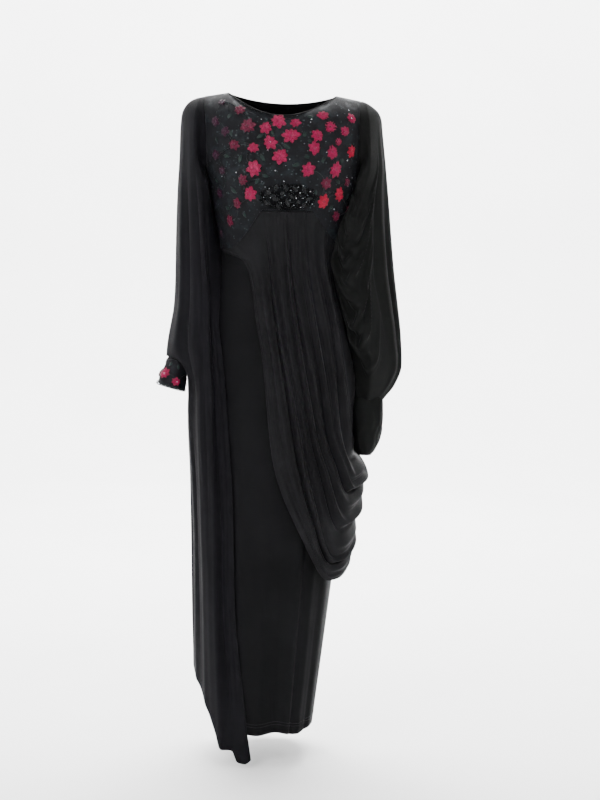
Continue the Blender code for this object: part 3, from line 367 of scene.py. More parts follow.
class Pile:
    """Many small things gathered into one mesh, on a surface and at a base height over it."""

    def __init__(self, surface=None, base=0.0):
        self.surface, self.base = surface, base
        self.points, self.faces, self.places = [], [], []
        self.count = 0

    def add(self, points, faces, places=None):
        points = np.asarray(points, dtype=float).reshape(-1, 3)
        self.points.append(points)
        self.faces += [tuple(int(i) + self.count for i in face) for face in faces]
        self.places.append(np.zeros((len(points), 2)) if places is None else places.reshape(-1, 2))
        self.count += len(points)

    def add_grid(self, points, places, closed=False):
        self.add(points, grid_faces(*points.shape[:2], closed).reshape(-1, 4), places)

    def add_tube(self, path, radius, sides=6):
        """A closed cord of one radius along a path."""
        path = np.asarray(path, dtype=float)
        heading = unit(np.gradient(path, axis=0))
        aside = unit(np.cross(heading, (0.31, 0.22, 0.93)))
        over = np.cross(heading, aside)
        turn = np.linspace(0, ROUND, sides, endpoint=False)
        rings = path[:, None] + radius * (aside[:, None] * np.cos(turn)[None, :, None]
                                          + over[:, None] * np.sin(turn)[None, :, None])
        first, last = self.count, self.count + (len(path) - 1) * sides
        places = together(turn[None, :] * radius, lengths_along(path)[:, None])
        self.add_grid(rings, places, closed=True)
        self.faces += [tuple(range(first, first + sides)),
                       tuple(range(last + sides - 1, last - 1, -1))]

    def on(self, girth, drop, height):
        return self.surface(girth, drop, self.base + height)

    def turned(self, girth, drop, along, aside, turn, height):
        """Places of a small flat shape, turned in the cloth and set down at girth and drop."""
        return self.on(girth + (along * math.cos(turn) - aside * math.sin(turn)),
                       drop + (along * math.sin(turn) + aside * math.cos(turn)), height)

    def add_flower(self, girth, drop, radius, petals, turn):
        """Two whorls of petals sewn down at the middle."""
        for whorl, (size, lift, curl) in enumerate(WHORLS):
            count = petals + 1 - whorl
            for k in range(count):
                angle = turn + ROUND * (k + 0.5 * whorl) / count
                angle += 0.16 * math.sin(7 * k + 300 * girth)
                size_here = size * (1 + 0.15 * math.sin(5 * k + 200 * girth + 90 * drop))
                reach, aside, height, places = petal(radius * size_here, angle, count, curl)
                height = height + lift + 0.0002 * (k % 2)
                self.add_grid(self.turned(girth, drop, reach, aside, angle, height), places)

    def add_leaf(self, girth, drop, length, turn):
        """A pointed leaf with a pressed vein."""
        s = np.linspace(0, 1, 9)[:, None]
        t = np.linspace(-1, 1, 7)[None, :]
        half = 0.23 * length * np.sin(math.pi * s ** 0.85) ** 0.9 + 0.00005
        height = 0.0003 + 0.0013 * np.sin(math.pi * s) * (1 - 0.5 * t * t) - 0.0006 * bump(t, 0.2)
        points = self.turned(girth, drop, (s - 0.5) * length, half * t, turn, height)
        self.add_grid(points, together(s, t))

    def add_stone(self, girth, drop, radius, lift=0.0, sides=8, tall=0.8):
        """A faceted stone: foot, girdle and table."""
        turn = ROUND * np.arange(sides) / sides + 60 * girth
        across, down = radius * np.cos(turn), radius * np.sin(turn)
        rings = [self.on(girth + reach * across, drop + reach * down, lift + radius * height)
                 for reach, height in ((0.75, 0.0), (1.0, 0.30), (0.58, tall))]
        faces = grid_faces(3, sides, True).reshape(-1, 4)[:, [0, 3, 2, 1]].tolist()
        faces += [range(2 * sides, 3 * sides), range(sides - 1, -1, -1)]
        self.add(np.vstack(rings), faces)

    def add_jet_leaf(self, girth, drop, length, turn):
        """A cut jet leaf: a flat rim and two slopes that meet in a ridge."""
        outline = np.array(JET_OUTLINE) * length
        rows = [self.turned(girth, drop, outline[:, 0] * size, outline[:, 1] * size, turn, height)
                for size, height in ((1.0, 0.0), (0.96, 0.0011))]
        ridge = np.array((-0.22, 0.08, 0.30)) * length
        rows.append(self.turned(girth, drop, ridge, 0 * ridge, turn, 0.0028))
        rim = grid_faces(2, 8, True).reshape(-1, 4)[:, [0, 3, 2, 1]].tolist()
        self.add(np.vstack(rows), [range(7, -1, -1)] + rim + JET_SLOPES)

    def add_stem(self, start, end, sag):
        """An embroidered stem between two places of the cloth."""
        t = np.linspace(0, 1, 14)
        start, end = np.array(start), np.array(end)
        across = np.array((start[1] - end[1], end[0] - start[0]))
        path = start + (end - start) * t[:, None] + across * (sag * np.sin(math.pi * t))[:, None]
        self.add_tube(self.on(path[:, 0], path[:, 1], 0.0005), STEM, 5)

    def add_stitches(self, path):
        """A row of machine stitches along a path."""
        along = lengths_along(path)
        for start in np.arange(0, along[-1] - STITCH_LENGTH, STITCH_PITCH):
            places = np.linspace(start, start + STITCH_LENGTH, 3)
            self.add_tube(points_at(places, along, path), STITCH_THREAD, 4)

    def build(self, name, material, slot, thickness=0.0, flat_faces=False):
        points, places = np.vstack(self.points), np.vstack(self.places)
        return sewn(name, points, self.faces, places, material, slot, thickness, flat_faces)


# Finishes

COLOUR, NUMBER = "NodeSocketColor", "NodeSocketFloat"


class Shading:
    """A node tree and the few kinds of node that the finishes need."""

    def __init__(self, tree):
        self.tree = tree

    def join(self, value, socket):
        """Give a socket a number, a colour or the output of another node."""
        if isinstance(value, bpy.types.NodeSocket):
            self.tree.links.new(value, socket)
        else:
            socket.default_value = value

    def node(self, kind, output, values, **settings):
        """The named output of a new node with these settings and inputs."""
        node = self.tree.nodes.new(kind)
        for name, setting in settings.items():
            setattr(node, name, setting)
        for socket, value in values.items():
            self.join(value, node.inputs[socket])
        return node.outputs[output]

    def maths(self, operation, *values):
        return self.node("ShaderNodeMath", 0, dict(enumerate(values)), operation=operation)

    def mixed(self, share, first, second):
        return self.node("ShaderNodeMix", "Result", {"Factor": share, "A": first, "B": second},
                         data_type="RGBA")

    def spread(self, value, low, high, to_low=0.0, to_high=1.0):
        values = {"Value": value, "From Min": low, "From Max": high, "To Min": to_low,
                  "To Max": to_high}
        return self.node("ShaderNodeMapRange", "Result", values)

    def noise(self, scale, detail=3.0, roughness=0.55):
        place = self.node("ShaderNodeTexCoord", "Object", {})
        return self.node("ShaderNodeTexNoise", "Fac", {
            "Vector": place, "Scale": scale, "Detail": detail, "Roughness": roughness})

    def flat_places(self):
        """Places across and along the cloth, from its own flat coordinates."""
        flat = self.node("ShaderNodeUVMap", "UV", {}, uv_map="cloth")
        return [self.node("ShaderNodeSeparateXYZ", axis, {0: flat}) for axis in ("X", "Y")]


def pattern(name, inputs, draw):
    """A node group with named inputs; draw says what it puts out."""
    group = bpy.data.node_groups.new(name, "ShaderNodeTree")
    for label, value in inputs.items():
        kind, start = (COLOUR, (*value, 1)) if isinstance(value, tuple) else (NUMBER, value)
        group.interface.new_socket(label, in_out="INPUT", socket_type=kind).default_value = start
    shading = Shading(group)
    results = draw(shading, group.nodes.new("NodeGroupInput").outputs)
    for label in results:
        kind = COLOUR if label == "Color" else NUMBER
        group.interface.new_socket(label, in_out="OUTPUT", socket_type=kind)
    sockets = group.nodes.new("NodeGroupOutput").inputs
    for label, value in results.items():
        shading.join(value, sockets[label])
    return group


def knit(shading, given):
    """Jersey: fine stitches, a little fibre, and slow changes of shade."""
    maths, spread = shading.maths, shading.spread
    across, along = shading.flat_places()
    wale = maths("DIVIDE", across, given["Stitch"])
    course = maths("DIVIDE", along, given["Stitch"])
    aside = maths("ABSOLUTE", maths("SUBTRACT", maths("FRACT", wale), 0.5))
    slant = maths("ADD", course, maths("MULTIPLY", aside, 1.3))
    loops = maths("MULTIPLY_ADD", maths("SINE", maths("MULTIPLY", slant, ROUND)), 0.5, 0.5)
    groove = maths("MULTIPLY", maths("SUBTRACT", 0.5, aside), 2.0)
    stitches = maths("MULTIPLY", loops, groove)
    slow = shading.noise(9.0, 2.0)
    fibre = shading.noise(900.0, 3.0, 0.7)
    worn = maths("MULTIPLY_ADD", stitches, 0.18, maths("MULTIPLY", spread(slow, 0.35, 0.7), 0.45))
    worn = maths("ADD", worn, maths("MULTIPLY", spread(fibre, 0.45, 0.75), 0.22))
    dull = maths("MULTIPLY", spread(slow, 0.3, 0.7), 0.08)
    return {"Color": shading.mixed(worn, given["Shade"], given["Worn Shade"]),
            "Roughness": maths("ADD", given["Gloss"], dull),
            "Height": maths("ADD", stitches, maths("MULTIPLY", fibre, 0.5))}


def net(shading, given):
    """Tulle over jersey: a diamond net, with faint patches of dark thread work under it."""
    maths = shading.maths
    across, down = [maths("DIVIDE", place, given["Mesh"]) for place in shading.flat_places()]
    cords = []
    for operation in ("ADD", "SUBTRACT"):
        slant = maths("FRACT", maths(operation, across, down))
        cords.append(shading.spread(maths("ABSOLUTE", maths("SUBTRACT", slant, 0.5)), 0.16, 0.05))
    cord = maths("MAXIMUM", *cords)
    patches = shading.spread(shading.noise(46.0, 3.0, 0.6), 0.50, 0.62)
    ground = shading.mixed(patches, given["Ground"], given["Thread"])
    return {"Color": shading.mixed(maths("MULTIPLY", cord, 0.7), ground, given["Net"]),
            "Roughness": maths("SUBTRACT", 0.74, maths("MULTIPLY", patches, 0.22)),
            "Height": maths("ADD", maths("MULTIPLY", cord, 0.6), maths("MULTIPLY", patches, 0.8))}


def satin_threads(shading, given):
    """Satin cut-outs: darker at the root, lighter at the tip, with fine threads along them."""
    maths, spread = shading.maths, shading.spread
    along, across = shading.flat_places()
    threads = maths("SINE", maths("MULTIPLY", across, given["Threads"]))
    threads = maths("MULTIPLY_ADD", threads, 0.5, 0.5)
    cloudy = shading.noise(130.0, 2.0)
    tone = maths("ADD", spread(along, 0.05, 0.75, 0.0, 0.75), spread(cloudy, 0.4, 0.65, 0.0, 0.35))
    tone = maths("SUBTRACT", tone, maths("MULTIPLY", threads, 0.12))
    return {"Color": shading.mixed(tone, given["Root"], given["Tip"]),
            "Roughness": spread(cloudy, 0.35, 0.7, 0.34, 0.52),
            "Height": threads}


def gem_cloud(shading, given):
    """Beads and crystals: a hard finish, clouded a little from one to the next."""
    cloudy = shading.noise(260.0, 1.0)
    pale, dull = shading.spread(cloudy, 0.4, 0.6), shading.spread(cloudy, 0.35, 0.65)
    wider = shading.maths("SUBTRACT", given["Dull"], given["Polish"])
    return {"Color": shading.mixed(pale, given["Deep"], given["Colour"]),
            "Roughness": shading.maths("MULTIPLY_ADD", dull, wider, given["Polish"])}


KNIT = pattern("jersey_knit", {"Shade": (0.015, 0.015, 0.016), "Worn Shade": (0.03, 0.03, 0.033),
                               "Stitch": 0.0011, "Gloss": 0.62}, knit)
NET = pattern("tulle_net", {"Ground": (0.0026, 0.0027, 0.0036), "Net": (0.0072, 0.0073, 0.0092),
                            "Thread": (0.0030, 0.0055, 0.0070), "Mesh": 0.0022}, net)
SATIN = pattern("satin_threads", {"Root": (0.20, 0.005, 0.03), "Tip": (0.60, 0.03, 0.12),
                                  "Threads": 40.0}, satin_threads)
GEM = pattern("gem_cloud", {"Colour": (0.5, 0.5, 0.5), "Deep": (0.2, 0.2, 0.2), "Polish": 0.1,
                            "Dull": 0.22}, gem_cloud)


def new_material(name):
    """A material, its shading, and the inputs of its shader."""
    material = bpy.data.materials.new(name)
    material.use_nodes = True
    tree = material.node_tree
    return material, Shading(tree), tree.nodes["Principled BSDF"].inputs


def finish(name, group, values, surface, relief=0.0, strength=0.0):
    """A material whose colour, roughness and relief come from one of the groups."""
    material, shading, shader = new_material(name)
    made = material.node_tree.nodes.new("ShaderNodeGroup")
    made.node_tree = group
    for label, value in values.items():
        made.inputs[label].default_value = (*value, 1) if isinstance(value, tuple) else value
    shading.join(made.outputs["Color"], shader["Base Color"])
    shading.join(made.outputs["Roughness"], shader["Roughness"])
    if relief:
        raised = {"Distance": relief, "Strength": strength, "Height": made.outputs["Height"]}
        shading.join(shading.node("ShaderNodeBump", "Normal", raised), shader["Normal"])
    for label, value in surface.items():
        shader[label].default_value = value
    return material


def soft_surface(sheen, specular, sheen_rough=0.4):
    return {"Sheen Weight": sheen, "Sheen Roughness": sheen_rough, "Specular IOR Level": specular}


def jersey(name, shade, worn, gloss):
    values = {"Shade": shade, "Worn Shade": worn, "Gloss": gloss}
    return finish(name, KNIT, values, soft_surface(0.004, 0.034), 0.00025, 0.35)


def tulle(name, values, sheen=0.010, specular=0.10):
    return finish(name, NET, values, soft_surface(sheen, specular), 0.0005, 0.45)


def satin(name, root, tip, sheen=0.02):
    values = {"Root": root, "Tip": tip}
    return finish(name, SATIN, values, soft_surface(sheen, 0.16, 0.3), 0.0001, 0.25)


def gem(name, colour, deep, polish, metallic, specular):
    values = {"Colour": colour, "Deep": deep, "Polish": polish, "Dull": polish + 0.12}
    return finish(name, GEM, values, {"Metallic": metallic, "Specular IOR Level": specular})


# The same black jersey in four copies. Each copy is made lighter or darker for its piece, with a
# violet cast on the long wing and a green cast on the batwing. This is painted light and shade that
# stands for how each piece is lit.
JERSEY_BODY_PAINTED_LIGHT = jersey("jersey_body_painted_light", (0.0026, 0.0026, 0.0029), (0.0058, 0.0057, 0.0065), 0.58)
JERSEY_LONG_PAINTED_LIGHT = jersey("jersey_long_wing_painted_light", (0.0031, 0.003, 0.0038), (0.0068, 0.0065, 0.0081), 0.60)
JERSEY_BATWING_PAINTED_LIGHT = jersey("jersey_batwing_painted_light", (0.0034, 0.0036, 0.0035), (0.0076, 0.008, 0.0078), 0.60)
JERSEY_SWAG_PAINTED_LIGHT = jersey("jersey_swag_painted_light", (0.0049, 0.0049, 0.0054), (0.0110, 0.0110, 0.0121), 0.56)
TULLE_YOKE = tulle("tulle_yoke", {})
TULLE_CUFF = tulle("tulle_cuff", {"Ground": (0.0060, 0.0045, 0.0065)})
TULLE_MOTIF = tulle("tulle_motif", {
    "Ground": (0.0010, 0.0010, 0.0014), "Net": (0.0026, 0.0026, 0.0033),
    "Thread": (0.0010, 0.0018, 0.0022)}, 0.004, 0.05)
# The wine and plum satins are darker copies of the magenta satin. They are painted shade on the
# flowers that lie in shade, most of them on the yoke's left.
PETALS = {
    "magenta": satin("petals_magenta", (0.245, 0.0016, 0.047), (0.130, 0.0006, 0.021)),
    "scarlet": satin("petals_scarlet", (0.32, 0.0024, 0.030), (0.165, 0.0008, 0.012)),
    "painted_shade": satin("petals_painted_shade", (0.098, 0.0015, 0.021), (0.046, 0.0007, 0.010)),
    "painted_deep_shade": satin("petals_painted_deep_shade", (0.032, 0.0017, 0.016), (0.014, 0.0009, 0.008)),
}
LEAF_SATIN = satin("leaves_dark_green", (0.0015, 0.0045, 0.004), (0.004, 0.014, 0.0105))
CORD = satin("embroidery_cord", (0.003, 0.006, 0.0055), (0.007, 0.015, 0.013), 0.03)
BLACK_THREAD = satin("black_thread", (0.004, 0.004, 0.0045), (0.014, 0.014, 0.016), 0.03)
CRYSTAL = gem("crystal_silver", (0.74, 0.76, 0.79), (0.24, 0.27, 0.30), 0.08, 0.92, 0.5)
JET = gem("jet_glass", (0.004, 0.005, 0.0055), (0.0015, 0.002, 0.0024), 0.20, 0.0, 0.12)
SEQUIN = gem("sequin_dark", (0.018, 0.029, 0.031), (0.005, 0.007, 0.008), 0.30, 0.4, 0.28)


# Camera: the photograph is taken as 600 by 800 pixels, about 2.24 mm each at the kaftan
PIXEL = 0.002235
ORIGIN_PIXEL = (283, 100)
PHOTO_SIZE = (600, 800)
CAMERA_DISTANCE = 3.3
CAMERA_ABOVE = math.radians(5.5)
SENSOR = 36.0


def make_camera():
    data = bpy.data.cameras.new("camera")
    data.sensor_fit = "VERTICAL"
    data.sensor_height = SENSOR
    data.lens = SENSOR * CAMERA_DISTANCE / (PHOTO_SIZE[1] * PIXEL)
    camera = placed("camera", data)
    aim_x = (PHOTO_SIZE[0] / 2 - ORIGIN_PIXEL[0]) * PIXEL
    aim_z = (ORIGIN_PIXEL[1] - PHOTO_SIZE[1] / 2) * PIXEL
    camera.location = (aim_x, -CAMERA_DISTANCE * math.cos(CAMERA_ABOVE),
                       aim_z + CAMERA_DISTANCE * math.sin(CAMERA_ABOVE))
    camera.rotation_euler = (math.pi / 2 - CAMERA_ABOVE, 0, 0)
    bpy.context.scene.camera = camera


def jersey_piece(name, node, points, material, **cut):
    """A piece of black jersey that stands for a solid."""
    piece = cloth(name, points, material, "black_jersey", **cut)
    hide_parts(node)
    return piece


def tulle_piece(name, node, points, material, thickness=TULLE, **cut):
    """A piece of embroidered tulle that stands for a solid."""
    piece = cloth(name, points, material, "embroidered_tulle", thickness, **cut)
    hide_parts(node)
    return piece


# Skirt
SKIRT_COLUMNS, SKIRT_ROWS = 113, 190


def skirt_creases(degrees, z):
    total = 0.0
    for top, low, width, height, begin, full in SKIRT_CREASES:
        place = top + (low - top) * smooth(WAIST_SEAM_Z, HEM_Z, z)
        crease = crest(turn_from(place, degrees), width, 1.15)
        total = total + height * crease * smooth(begin, full, z)
    return total


def make_skirt(node, first, last, is_back):
    degrees = np.linspace(first, last, SKIRT_COLUMNS)[None, :]
    share = np.linspace(0, 1, SKIRT_ROWS)[:, None]
    top = (np.full_like(degrees, WAIST_SEAM_Z) if is_back else seam_under_yoke(degrees)) - SEAM
    hem = HEM_Z + 0.004 * np.sin(np.radians(degrees * 7))
    z = top + (hem - top) * share
    degrees = degrees + 0 * z
    uneven = 0.0011 * drift(degrees / 14, z * 3.2, 5 if is_back else 6) * smooth(-0.33, -0.55, z)
    uneven = uneven * smooth(0, 12, degrees - first) * smooth(0, 12, last - degrees)
    points = skirt_surface(degrees, z, skirt_creases(degrees, z) + uneven)
    points[..., 1] += (1 if is_back else -1) * SEAM / 2
    return jersey_piece(node + "_cloth", node, points, JERSEY_BODY_PAINTED_LIGHT), points


# Bodice
BODICE_ROWS = 96
EDGE_COLUMNS = 12       # between the neck and each shoulder tip
NECK_COLUMNS = 110
# Soft drag lines of the back bodice: girth, lean, width, height
BACK_DRAGS = [
    (-0.150, 0.25, 0.012, 0.0030), (-0.085, 0.14, 0.009, 0.0020), (0.030, -0.05, 0.014, 0.0016),
    (0.095, -0.16, 0.010, 0.0024), (0.165, -0.28, 0.012, 0.0030),
]


def bodice_grid(neck_drop, lower_edge):
    """Girth and drop over a bodice panel, blended from its four cut edges."""
    top_half = float(RINGS.at("half", 0))
    tip_girth = GIRTH_SCALE * math.asin(SHOULDER_TIP_X / top_half)
    corner = GIRTH_SCALE * math.asin(NECK_HALF / top_half) / tip_girth
    u = np.concatenate([np.linspace(-1, -corner, EDGE_COLUMNS)[:-1],
                        np.linspace(-corner, corner, NECK_COLUMNS),
                        np.linspace(corner, 1, EDGE_COLUMNS)[1:]])
    x = top_half * np.sin(tip_girth * u / GIRTH_SCALE)
    in_neck = np.abs(x) < NECK_HALF
    top_girth, top_drop = on_panel(x, np.where(in_neck, neck_line(x, neck_drop), shoulder_line(x)))
    top_girth = np.where(in_neck, top_girth, tip_girth * u)
    degrees = 90 * u
    low = round_panel(degrees, lower_edge(degrees))
    v = np.linspace(0, 1, BODICE_ROWS)[:, None]
    edges = []
    for side in (-1, 1):
        tip = float(shoulder_line(side * SHOULDER_TIP_X))
        level = tip + (WAIST_SEAM_Z - tip) * v
        at_x = np.where(level > UNDERARM_Z, SHOULDER_TIP_X, RINGS.at("half", level))
        edges.append((side * side_girth(level), drop_at(side * at_x, level)))
    s = (u + 1) / 2
    for top, low, left, right in zip((top_girth, top_drop), low, *edges):
        corners = (1 - v) * (top[0] * (1 - s) + top[-1] * s) + v * (low[0] * (1 - s) + low[-1] * s)
        yield (1 - v) * top + v * low + (left * (1 - s) + right * s) - corners


def make_bodice():
    girth, drop = bodice_grid(FRONT_NECK_DROP, seam_under_yoke)
    pull = 0.0009 * drift(girth * 34, drop * 22, 11) * smooth(0.02, 0.08, drop)
    yoke = tulle_piece("yoke_cloth", "bodice_front", torso(girth, drop, pull), TULLE_YOKE)
    girth, drop = bodice_grid(BACK_NECK_DROP, lambda degrees: np.full_like(degrees, WAIST_SEAM_Z))
    pull = 0.0012 * drift(girth * 30, drop * 9, 12)
    for place, lean, width, height in BACK_DRAGS:
        drag = crest(girth - place - lean * (drop - 0.2), width)
        pull = pull + height * drag * smooth(0.10, 0.30, drop)
    back = jersey_piece("back_bodice_cloth", "bodice_back", torso(girth, drop, pull, back=True),
                        JERSEY_BODY_PAINTED_LIGHT, flip=True)
    return yoke, back


# Swag
SWAG_ROWS, SWAG_COLUMNS = 240, 190
# Lines of the swag from its lower edge to its upper: place across it, then degrees round the dress
# and height at each place along it
SWAG_ALONG = (0.0, 0.10, 0.30, 0.50, 0.66, 0.78, 0.89, 1.0)
SWAG_LINES = [
    (0, (-76, -36, -17, -6, 16, 48, 88, 142),
     (-0.342, -0.366, -0.53, -0.78, -0.935, -1.055, -1.03, -0.93)),
    (0.3, (-10, -8, 0, 14, 27, 49, 86, 142),
     (-0.257, -0.33, -0.52, -0.72, -0.88, -1.005, -0.975, -0.87)),
    (0.42, (0, 2, 8, 20, 33, 54, 86, 142),
     (-0.257, -0.33, -0.505, -0.69, -0.835, -0.945, -0.92, -0.8)),
    (0.55, (9, 10, 15, 27, 39, 58, 88, 142),
     (-0.257, -0.33, -0.49, -0.65, -0.785, -0.885, -0.865, -0.74)),
    (0.8, (33, 33, 36, 44, 54, 72, 96, 142),
     (-0.263, -0.32, -0.44, -0.59, -0.72, -0.805, -0.795, -0.69)),
    (1, (52, 50, 48, 53, 64, 80, 98, 142),
     (-0.27, -0.31, -0.4, -0.49, -0.56, -0.62, -0.665, -0.64)),
]
# Main pleats of the swag: place across it, width, height
SWAG_PLEATS = [
    (0.045, 0.04, 0.4), (0.15, 0.05, 0.62), (0.272, 0.026, 1), (0.352, 0.03, 0.5),
    (0.452, 0.024, 1.05), (0.54, 0.034, 0.62), (0.642, 0.024, 1.05), (0.742, 0.036, 0.66),
    (0.856, 0.03, 0.95),
]
# Finer pleats between them: place, width, height, wander, and where along each begins and ends
SWAG_FINE = [
    (0.095, 0.014, 0.002, 0.012, 0.15, 0.8), (0.205, 0.012, 0.0026, 0.012, 0.1, 0.78),
    (0.238, 0.007, -0.003, 0.006, 0.18, 0.98), (0.315, 0.012, 0.0022, 0.01, 0.3, 0.95),
    (0.398, 0.014, 0.002, -0.012, 0.05, 0.6), (0.424, 0.007, -0.0034, 0.005, 0.22, 1),
    (0.5, 0.012, 0.0022, 0.01, 0.35, 1), (0.585, 0.014, 0.002, -0.01, 0, 0.55),
    (0.612, 0.007, -0.0034, 0.006, 0.16, 0.96), (0.695, 0.013, 0.0024, 0.012, 0.3, 1),
    (0.822, 0.008, -0.003, 0.008, 0.2, 0.95), (0.915, 0.014, 0.002, -0.008, 0.1, 1),
]
SWAG_CLEAR = 0.0040     # how far it stands off the skirt
SWAG_LEAST = 0.0026
SWAG_ROOM = 0.0120      # the most it stands off, where the sleeve hangs beside it
SWAG_PLEAT = 0.013      # height of a full pleat
SWAG_STAND = 0.030      # how far its lower loops stand out from the skirt


def swag_grid():
    """Places across and along the swag, degrees round the dress, and height."""
    lines = [(across, Table("v degrees z", zip(SWAG_ALONG, turns, heights)))
             for across, turns, heights in SWAG_LINES]
    u, v = np.linspace(0, 1, SWAG_COLUMNS), np.linspace(0, 1, SWAG_ROWS)
    turn, level = [], []
    for along in v:
        across = Table("u degrees z", [(place, line.at("degrees", along), line.at("z", along))
                                       for place, line in lines])
        turn.append(across.at("degrees", u))
        level.append(across.at("z", u))
    turn, level = np.array(turn), np.array(level)
    u, v = np.meshgrid(u, v)
    level = level + (seam_under_yoke(turn[0]) - 2 * SEAM - level[0]) * smooth(0.25, 0.0, v)
    return u, v, turn, level


def swag_pleats(u, v):
    total = 0.0
    for place, width, height in SWAG_PLEATS:
        wander = 0.006 * np.sin(9 * v + 40 * place)
        total = total + height * (0.30 * bump(u - place, width)
                                  + 0.78 * crest(u - place - wander, width * 0.70, 1.55))
    return total


def swag_creases(u, v):
    """The finer pleats: the sunk ones deepen and widen in the loops."""
    total = 0.0
    for place, width, height, wander, begin, end in SWAG_FINE:
        path = place + wander * np.sin(6 * v + 31 * place)
        reach = smooth(begin - 0.02, begin + 0.10, v) * smooth(end + 0.03, end - 0.12, v)
        sink = bump(v - 0.76, 0.13) if height < 0 else 0.0
        height, width = height * (1 + 0.9 * sink), width * (1 + 0.8 * sink)
        total = total + height * crest(u - path, width, 1.3) * reach
    return total


def make_swag():
    u, v, turn, level = swag_grid()
    full = smooth(0.0, 0.35, v) * 0.7 + 0.3
    stand = SWAG_STAND * smooth(0.45, 0.8, v) * smooth(1.0, 0.45, u)
    stand = stand * (1 - 0.7 * smooth(0.85, 1.0, v)) * smooth(-0.72, -0.82, level)
    stand = stand + 0.014 * bump(level + 0.828, 0.042) * bump(turn - 90, 24)
    beside_sleeve = smooth(55, 80, turn) * smooth(-0.805, -0.775, level)
    height = SWAG_PLEAT * full * (1 - 0.20 * beside_sleeve) * smooth(1.0, 0.93, u)
    height = height * (1 - 0.5 * smooth(0.6, 0.8, v) * smooth(0.34, 0.2, u))
    clear = SWAG_CLEAR - 0.0016 * smooth(0.08, 0.0, v) + 0.004 * smooth(0.8, 0.95, v)
    gathers = 0.0006 * np.sin(u * 210 + 3 * np.sin(u * 37)) * smooth(0.08, 0.0, v)
    uneven = 0.0008 * drift(u * 30, v * 9, 21) * smooth(0, 0.1, v)
    out = (clear + stand + height * swag_pleats(u, v)
           + (swag_creases(u, v) + gathers) * smooth(1.0, 0.95, u) + uneven)
    under_sleeve = smooth(50, 72, turn) * smooth(125, 105, turn) * smooth(-0.812, -0.790, level)
    out = np.maximum(np.minimum(out, SWAG_ROOM + 0.05 * (1 - under_sleeve)), SWAG_LEAST)
    points = skirt_surface(turn, level, out)
    return jersey_piece("swag_cloth", "drape_front", points, JERSEY_SWAG_PAINTED_LIGHT), points


# Wings
LONG_WING_COLUMNS, BATWING_COLUMNS = 113, 150
LONG_WING_SEWN, BATWING_SEWN = 58, 75       # the row down to which the edges are sewn to the dress
LONG_WING_LOW = -1.46
HEM_START_Z = -0.70     # below it the long wing's rows lead down to its pointed hem
HEM_ROWS = 141
BATWING_LOW = -0.668
# A wing's section: where its edges lie round the dress, its front fold, outer edge and back fold
WING_PARTS = "z front_deg back_deg fold_x fold_y outer_z outer_x outer_y back_x back_y"
RIGHT_WING = millimetres(WING_PARTS, [
    (-4.5, 90, 90, 174, 2, -4, 174.5, 0, 174, 2), (-13.8, 90, 90, 181, 25, -7, 188, 0, 181, 25),
    (-35, 90, 90, 184, 41, -13, 201.5, 0, 184, 41),
    (-60, 90, 90, 188, 52, -24, 212.5, 0, 188, 52), (-90, 90, 90, 190, 60, -42, 221, 2, 190, 60),
    (-125, 90, 90, 191, 64, -75, 224.5, 4, 191, 66),
    (-170, 88, 92, 190, 67, -130, 227, 4, 191, 70),
    (-230, 86, 96, 186, 69, -210, 232.5, 2, 190, 73),
    (-300, 82, 100, 182, 70, -290, 236, 0, 187, 76),
    (-380, 72, 104, 178, 73, -380, 238, -4, 183, 82),
    (-450, 62, 110, 176, 80, -450, 239, -6, 178, 90),
    (-540, 54, 118, 174, 89, -540, 250, -8, 174, 100),
    (-660, 48, 124, 170, 93, -660, 212, -6, 172, 102),
    (-720, 46, 126, 170, 94, -720, 213, -4, 172, 100),
    (-900, 40, 130, 166, 90, -900, 208, -2, 168, 94),
    (-1100, 36, 134, 162, 94, -1100, 205, 0, 164, 94),
    (-1300, 26, 138, 160, 98, -1300, 204, 0, 162, 96),
    (-1460, 16, 142, 158, 100, -1460, 203, 0, 160, 98),
])
LEFT_WING = millimetres(WING_PARTS, [
    (-14.6, 90, 90, 174, 2, -14, 174.5, 0, 174, 2),
    (-23.4, 90, 90, 181, 25, -19, 186, 0, 181, 25), (-45, 90, 90, 184, 40, -27, 198, 0, 184, 41),
    (-70, 90, 90, 187, 50, -38, 209.5, 0, 188, 52),
    (-100, 90, 90, 189, 58, -55, 216.5, 2, 190, 60),
    (-135, 90, 90, 190, 62, -88, 219.5, 4, 191, 66),
    (-180, 88, 92, 190, 64, -140, 224, 4, 191, 70),
    (-235, 70, 98, 172, 80, -215, 230, 2, 190, 73),
    (-300, 56, 102, 160, 92, -290, 236, 0, 188, 76),
    (-380, 51, 106, 156, 98, -380, 244.5, -4, 190, 80),
    (-450, 53, 106, 166, 100, -450, 252, -6, 194, 80),
    (-530, 64, 104, 184, 88, -530, 259, -8, 200, 74),
    (-590, 77, 98, 198, 66, -590, 261, -8, 204, 58),
    (-634, 81, 94, 196, 43, -634, 248, -6, 200, 38),
    (-668, 84, 91.2, 190, 28.5, -668, 223.5, -4, 192, 25),
])
WING_HEM = millimetres("x front back", [
    (40, -1440, -1385), (63, -1446, -1382), (85, -1463, -1375), (100, -1461, -1368),
    (112, -1436, -1360), (136, -1432, -1345), (147, -1400, -1335), (176, -1325, -1305),
    (206, -1262, -1262),
])
# Main folds of a wing: place along the section at the shoulder and at the hem, width, height
RIGHT_FOLDS = [
    (0.15, 0.14, 0.026, 0.0075), (0.25, 0.25, 0.045, 0.004), (0.36, 0.37, 0.05, 0.0045),
    (0.62, 0.6, 0.04, 0.005), (0.73, 0.73, 0.045, 0.0065), (0.85, 0.86, 0.03, 0.0075),
]
LEFT_FOLDS = [
    (0.37, 0.39, 0.035, 0.005), (0.47, 0.46, 0.04, 0.004), (0.6, 0.6, 0.045, 0.0045),
    (0.73, 0.72, 0.045, 0.0065), (0.85, 0.85, 0.035, 0.006),
]
